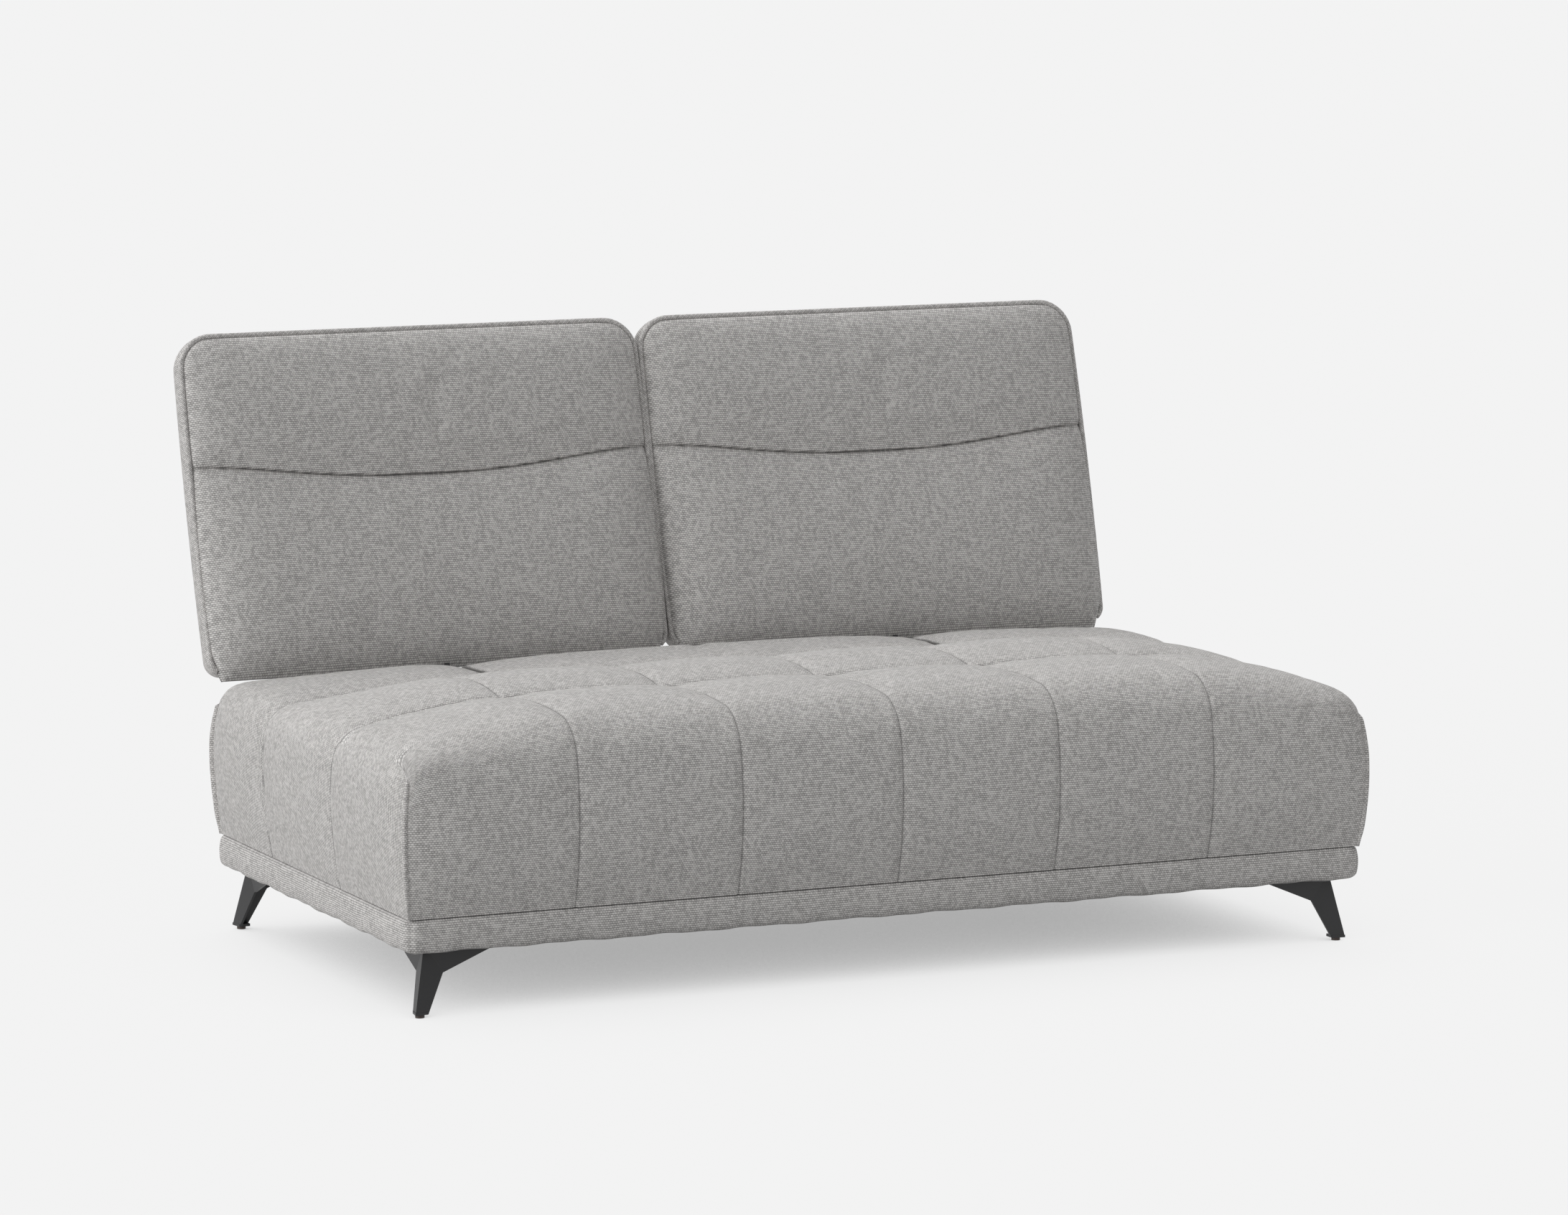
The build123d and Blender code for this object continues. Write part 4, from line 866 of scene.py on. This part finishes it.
def cushionSurface(centre, kind, u, v):
    # u runs across from -1 to 1, v from the foot to the top
    lumbar = kind == "lumbar"
    table = lowerRise if lumbar else upperRise
    inset, edge = back["edgeInset"], back["edgeRise"]
    crown, bulge = back[kind + "Crown"], back[kind + "Bulge"]
    guess = u * back["half"]
    for _ in range(3):
        seamAt = seamLine(guess)
        low, high = (-back["drop"], seamAt) if lumbar else (seamAt, back["length"] - inset)
        along = np.broadcast_to(low + v[:, None] * (high - low), (len(v), len(u)))
        half = backHalf(np.clip(along, inset, back["length"] - inset), inset)
        side = 4 * v * (1 - v) if lumbar else np.sqrt(np.clip(4 * v * (1 - v), 0, 1)) * (1 - v)
        across = u[None] * (half + bulge * side[:, None])
    if lumbar:  # the foot's corners are squarer than the board's
        foot = np.clip(1 - v / 0.12, 0, 1)[:, None]
        square = back["width"] / 2 - inset - 0.012 * foot**1.5
        across = u[None] * np.maximum(half + bulge * side[:, None], square * (foot > 0))
    lift = riseAlong(table, v)[:, None]
    off = np.abs(u)[None]
    wide = np.clip(1 - off**8, 0, 1) ** 0.50
    dome = 0.86 + 0.14 * (1 - off**2)
    out = back["borderDepth"] + lift * (edge + (crown * dome - edge) * wide)
    if not lumbar:  # the head cushion's foot rolls down over the seam
        roll = creaseMark(v[:, None] - 0.05, 0.045) * (1 - off**6)
        along = along - back["overhang"] * roll
    # puckers where the cover is gathered, near the seam's ends and in the lower corners
    gather = creaseMark(off - 0.93, 0.06) * creaseMark(v[:, None] - (1 if lumbar else 0), 0.13)
    gather = gather + lumbar * creaseMark(off - 0.95, 0.05) * creaseMark(v[:, None], 0.16)
    out = out + 0.0026 * gather * np.sin((across * 0.75 + along * (0.9 if lumbar else -0.9)) * 330)
    out = out - (1 - np.clip((1 - off) / 0.012, 0, 1)) * 0.004
    return onBack(centre, across, along, out), across, along


def makeCushion(side, sign, kind):
    centre = sign * slitX
    tall = back["seam"] + back["drop"] if kind == "lumbar" else back["length"] - back["seam"]
    u, v = (spaced(length, back["pitch"], back["edgeSteps"]) for length in (back["width"], tall))
    u = u * 2 - 1
    points, across, along = cushionSurface(centre, kind, u, v)
    roughU = np.linspace(-1, 1, int(back["width"] / back["simPitch"]) + 1)
    roughV = np.linspace(0, 1, int(tall / back["simPitch"]) + 1)
    rough, _, _ = cushionSurface(centre, kind, roughU, roughV)
    pinned = np.zeros(rough.shape[:2])
    pinned[[0, -1], :] = 1
    pinned[:, [0, -1]] = 1
    swell = simulatedSwell("backTrial", rough, pinned)
    detail = sharedSwell(swell, pinned, back["swellShare"], back["wrinkleShare"])
    spread = cubicSpread(roughV, v) @ detail @ cubicSpread(roughU, u).T
    points = points + gridNormals(points) * spread[..., None]
    uv = np.stack([across, along], -1)
    # painted shade along the seam between the cushions, fading at its ends
    toSeam = (1 - v if kind == "lumbar" else v) * tall
    mark = creaseMark(toSeam, 0.0014)[:, None] * (1 - np.abs(u) ** 6)[None]
    skin = Skin(kind + "Cushion." + side)
    skin.add(points, uv, mark)
    # flat back against the foam
    flat = onBack(centre, across, along, back["borderDepth"] + 0.0005)
    # the cushion's rim is painted a little darker: painted shade
    skin.addRim(points, flat, uv, 0.3)
    piece = skin.build(coverCloth)
    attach(piece, "backrest_" + side)
    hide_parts(kind + "_cushion_" + side)


def backLoop(inset, pitch):
    # the backrest's outline from the middle of the foot, anticlockwise from in front
    top, bottom = back["length"] - inset, inset - back["borderDrop"]
    half = back["width"] / 2 - inset
    upper, lower = back["topRadius"] - inset, back["bottomRadius"] - inset
    corners = [
        (half - lower, bottom + lower, lower, -90),
        (half - upper, top - upper, upper, 0),
        (-half + upper, top - upper, upper, 90),
        (-half + lower, bottom + lower, lower, 180),
    ]
    points, outs = cornerLoop(corners, pitch, 11, (0.0, bottom))
    points[:, 0] += np.sign(points[:, 0]) * sideBow(points[:, 1]) * np.abs(outs[:, 0])
    return points, outs


def sweptRound(side, sign, name, inset, pitch, section, slant, trimmed):
    # a section carried round the backrest, as points out from its outline and forward
    loop, outs = backLoop(inset, pitch)
    if trimmed:
        keep = loop[:, 1] > -back["borderDrop"] + back["bottomRadius"] * 0.25
        first, last = np.flatnonzero(keep)[[0, -1]]
        loop, outs = loop[first:last + 1], outs[first:last + 1]
    grid = np.stack([onBack(sign * slitX, *(loop + outs * out).T, proud) for out, proud in section])
    along, across = np.meshgrid(runShares(loop, True), runShares(np.array(section), True))
    return Skin(name + "." + side), grid, np.stack([across, along + across * slant], -1)


def makeBorder(side, sign):
    depth = back["borderDepth"]
    section = []
    for share in np.linspace(0, 1, 13):
        puff = 0.0035 * math.sin(math.pi * share) ** 0.7
        section.append((-0.0035 + puff, depth * (1 - share)))
    inner = back["padding"] + 0.002
    front, rear = [(-inner, depth - 0.002), (-0.006, depth + 0.0015)], [(-0.006, -0.0015), (-inner, 0.002)]
    section = [*front, *section, *rear, front[0]]
    skin, grid, uv = sweptRound(side, sign, "backBorder", 0.0, 0.008, section, 0.5, False)
    # painted shade on the border's inner front edge, in the gap beside the cushion
    mark = np.zeros((len(section), 1))
    mark[1:3] = 0.35
    skin.add(grid, uv, mark, flip=True)
    piece = skin.build(coverCloth)
    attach(piece, "backrest_" + side)
    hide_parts("back_border_" + side)


def makePiping(side, sign):
    radius, proud = back["pipingRadius"], back["borderDepth"] + 0.002
    angles = np.linspace(0, 2 * math.pi, back["pipingTurns"] + 1)
    section = np.stack([radius * np.cos(angles), proud + radius * np.sin(angles)], 1)
    skin, grid, uv = sweptRound(side, sign, "backPiping", back["padding"] / 2, 0.006, section, 0.7, True)
    skin.add(grid, uv)
    for end in (0, -1):
        middle = np.broadcast_to(grid[:-1, end].mean(0), grid[:, end].shape)
        # the tucked ends are painted a little darker: painted shade
        skin.addWall([grid[:, end], middle], uv[:, end], 0.3, end == 0, 1)
    piece = skin.build(pipingCloth)
    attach(piece, "backrest_" + side)
    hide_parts("back_piping_" + side)


def makeRearCover(side, sign):
    centre = sign * slitX
    u = np.linspace(-1, 1, 61)
    v = 0.5 - 0.5 * np.cos(np.linspace(0, 1, 45) * math.pi)
    inset = 0.006
    low = inset - back["borderDrop"]
    along = low + v * (back["length"] - inset - low)
    half = backHalf(along, inset)
    across = u[None] * half[:, None]
    tall = np.broadcast_to(along[:, None], across.shape)
    off = np.maximum(np.abs(u)[None] ** 6, np.abs(v * 2 - 1)[:, None] ** 5)
    out = 0.0045 - 0.0075 * np.clip(1 - off, 0, 1) ** 0.6
    skin = Skin("backRearCover." + side)
    uv = np.stack([across, tall], -1)
    outer = onBack(centre, across, tall, out)
    inner = onBack(centre, across, tall, 0.0055)
    skin.add(outer, uv, flip=True)
    skin.add(inner, uv)
    skin.addRim(outer, inner, uv, flip=True)
    piece = skin.build(coverCloth)
    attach(piece, "backrest_" + side)
    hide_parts("back_rear_cover_" + side)


for side, sign in sides.items():
    for kind in ("lumbar", "head"):
        makeCushion(side, sign, kind)
    makeBorder(side, sign)
    makePiping(side, sign)
    makeRearCover(side, sign)
print("backrests made")


foam = {
    "radius": 0.036,  # the seat foam's outer top edges are cut round
    "above": 0.37,
    "outside": 0.76,
    "ahead": -0.48,
}


def isOuterTop(vert):
    x, y, z = vert.co
    return z > foam["above"] and (abs(x) > foam["outside"] or y < foam["ahead"])


def makeFoam(node, name, body):
    # the CAD block's own shape with its triangles merged
    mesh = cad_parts[node].data.copy()
    mesh.name = name
    merged = bmesh.new()
    merged.from_mesh(mesh)
    bmesh.ops.remove_doubles(merged, verts=merged.verts, dist=0.00002)
    bmesh.ops.dissolve_limit(merged, angle_limit=math.radians(1), verts=merged.verts, edges=merged.edges)
    if body == "seat_base":
        picked = [edge for edge in merged.edges if all(isOuterTop(vert) for vert in edge.verts)]
        bmesh.ops.bevel(merged, geom=picked, offset=foam["radius"], segments=5, profile=0.5, affect="EDGES")
    merged.to_mesh(mesh)
    merged.free()
    mesh.materials.clear()
    mesh.materials.append(paleFoam)
    piece = newObject(name, mesh)
    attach(piece, body)
    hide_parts(node)


makeFoam("seat_foam", "seatFoam", "seat_base")
for side in sides:
    makeFoam("back_foam_" + side, "backFoam." + side, "backrest_" + side)
print("foam made")

lining = {
    "thick": 0.0008,
    "sag": 0.005,  # how far the cloth hangs down at the middle
    "heldRim": 0.14,  # width of the rim held flat by the box and the legs
    "ease": 0.24,  # width over which the sag sets in
    "steps": (150, 78),
}


def makeLining():  # black cloth stretched under the box
    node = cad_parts["dust_cover"]
    spots = np.array([node.matrix_world @ Vector(corner) for corner in node.bound_box])
    low, high = spots.min(0), spots.max(0)
    x, y = np.meshgrid(*(np.linspace(low[k], high[k], lining["steps"][k]) for k in (0, 1)))
    inside = np.minimum(np.minimum(x - low[0], high[0] - x), np.minimum(y - low[1], high[1] - y))
    hung = lining["sag"] * smoothstep((inside - lining["heldRim"]) / lining["ease"])
    upper = np.stack([x, y, high[2] - hung], 2)
    lower = upper - np.array([0, 0, lining["thick"]])
    uv = np.stack([x, y], 2)
    skin = Skin("lining")
    skin.add(upper, uv)
    skin.add(lower, uv, flip=True)
    skin.addRim(upper, lower, uv)
    piece = skin.build(blackLining)
    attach(piece, "seat_base")
    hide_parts("dust_cover")


makeLining()
print("lining made")

finishes = {
    ("frame_panel", "partition", "corner_block", "back_board"): birchPly,
    ("leg_screws", "rail", "plate_screws"): zincSteel,
    ("leg_",): satinBlack,
    ("glide",): glidePlastic,
    ("webbing",): blackWebbing,
    ("runners",): whiteNylon,
    ("carriage", "support_arm", "mounting_plate"): blackSteel,
}
for name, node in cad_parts.items():
    for starts, material in finishes.items():
        if name.startswith(starts):
            node.data.materials.clear()
            node.data.materials.append(material)
            break
print("hard parts finished")

studio = {
    "paper": 0.896,  # floor and background as the camera sees them, as a share of white
    "below": 0.37,
    "above": 0.56,
    "topSun": 1.20,
    "sideSun": 1.62,
    "topAim": (0.0, 0.46, 0.89),
    "sideAim": (-0.97, -0.10, 0.22),
    "soft": 42,
    "shadowShare": 0.05,
    "floorTone": 0.56,  # of the floor as it lights the sofa
    "contact": 0.50,  # reach of the painted shadow close under the sofa
    "contactPower": 4.0,
    "contactShare": 0.60,
    "camera": (-4.3258, -9.8123, 1.9847),
    "yaw": 23.99,
    "pitch": 7.821,
    "lens": 156.0,
}


def seenRays(start):  # 1 for rays that show the paper: from the camera, a mirror or a clear piece
    rays = [start.node("LightPath", output=output) for output in (0, 3, 6)]
    return rays[0].maths("MAXIMUM", rays[1]).maths("MAXIMUM", rays[2])


def makeStudio():
    world = bpy.data.worlds.new("studio")
    scene.world = world
    world.use_nodes = True
    tree = world.node_tree
    tree.nodes.clear()
    start = Shade(tree)
    way = start.node("TexCoord")
    height = start.node("SeparateXYZ", {0: way}, 2)
    below, above, paper = studio["below"], studio["above"], studio["paper"]
    sky = (height * 0.5 + 0.5).mix(colour(below), colour(above))
    seen = seenRays(start).mix(sky, colour(paper))
    lit = start.node("Background", {"Color": seen, "Strength": 1.0})
    end = tree.nodes.new("ShaderNodeOutputWorld")
    lit.feed(end.inputs["Surface"])

    # the floor shows as the same pale paper as the background, with a painted shadow: its glow is darkened
    # by ambient occlusion close under the sofa
    floorMaterial, floorSkin, start = newMaterial("paleFloor")
    dull = start.node("BsdfDiffuse", {"Color": colour(studio["floorTone"])})
    near = start.node("AmbientOcclusion", {"Distance": studio["contact"]}, 1, samples=12)
    deep = (1.0 - near).maths("POWER", studio["contactPower"]) * studio["contactShare"]
    tone = deep.mix(colour(paper), colour(0.0))
    matt = start.node("BsdfDiffuse", {"Color": colour(paper)})
    glow = start.node("Emission", {"Color": tone, "Strength": 1.0})
    mixed = start.node("MixShader", {0: studio["shadowShare"], 1: glow, 2: matt})
    shown = start.node("MixShader", {0: seenRays(start), 1: dull, 2: mixed})
    start.tree.nodes.remove(floorSkin)
    shown.feed(start.tree.nodes["Material Output"].inputs["Surface"])
    mesh = bpy.data.meshes.new("floor")
    reach = 60.0
    corners = [(-reach, -reach, 0), (reach, -reach, 0), (reach, reach, 0), (-reach, reach, 0)]
    mesh.from_pydata(corners, [], [(0, 1, 2, 3)])
    mesh.materials.append(floorMaterial)
    floor = newObject("floor", mesh)

    for name in ("top", "side"):
        lamp = bpy.data.lights.new(name + "Sun", "SUN")
        lamp.energy = studio[name + "Sun"]
        lamp.angle = math.radians(studio["soft"])
        holder = newObject(name + "Sun", lamp)
        holder.rotation_euler = Vector(studio[name + "Aim"]).to_track_quat("Z", "Y").to_euler()

    lens = bpy.data.cameras.new("camera")
    lens.sensor_width = 36.0
    lens.lens = studio["lens"]
    lens.clip_end = 200.0
    holder = newObject("camera", lens)
    holder.location = studio["camera"]
    holder.rotation_euler = (math.radians(90 - studio["pitch"]), 0, math.radians(-studio["yaw"]))
    scene.camera = holder
    scene.view_settings.view_transform = "Standard"


makeStudio()
print("studio made")
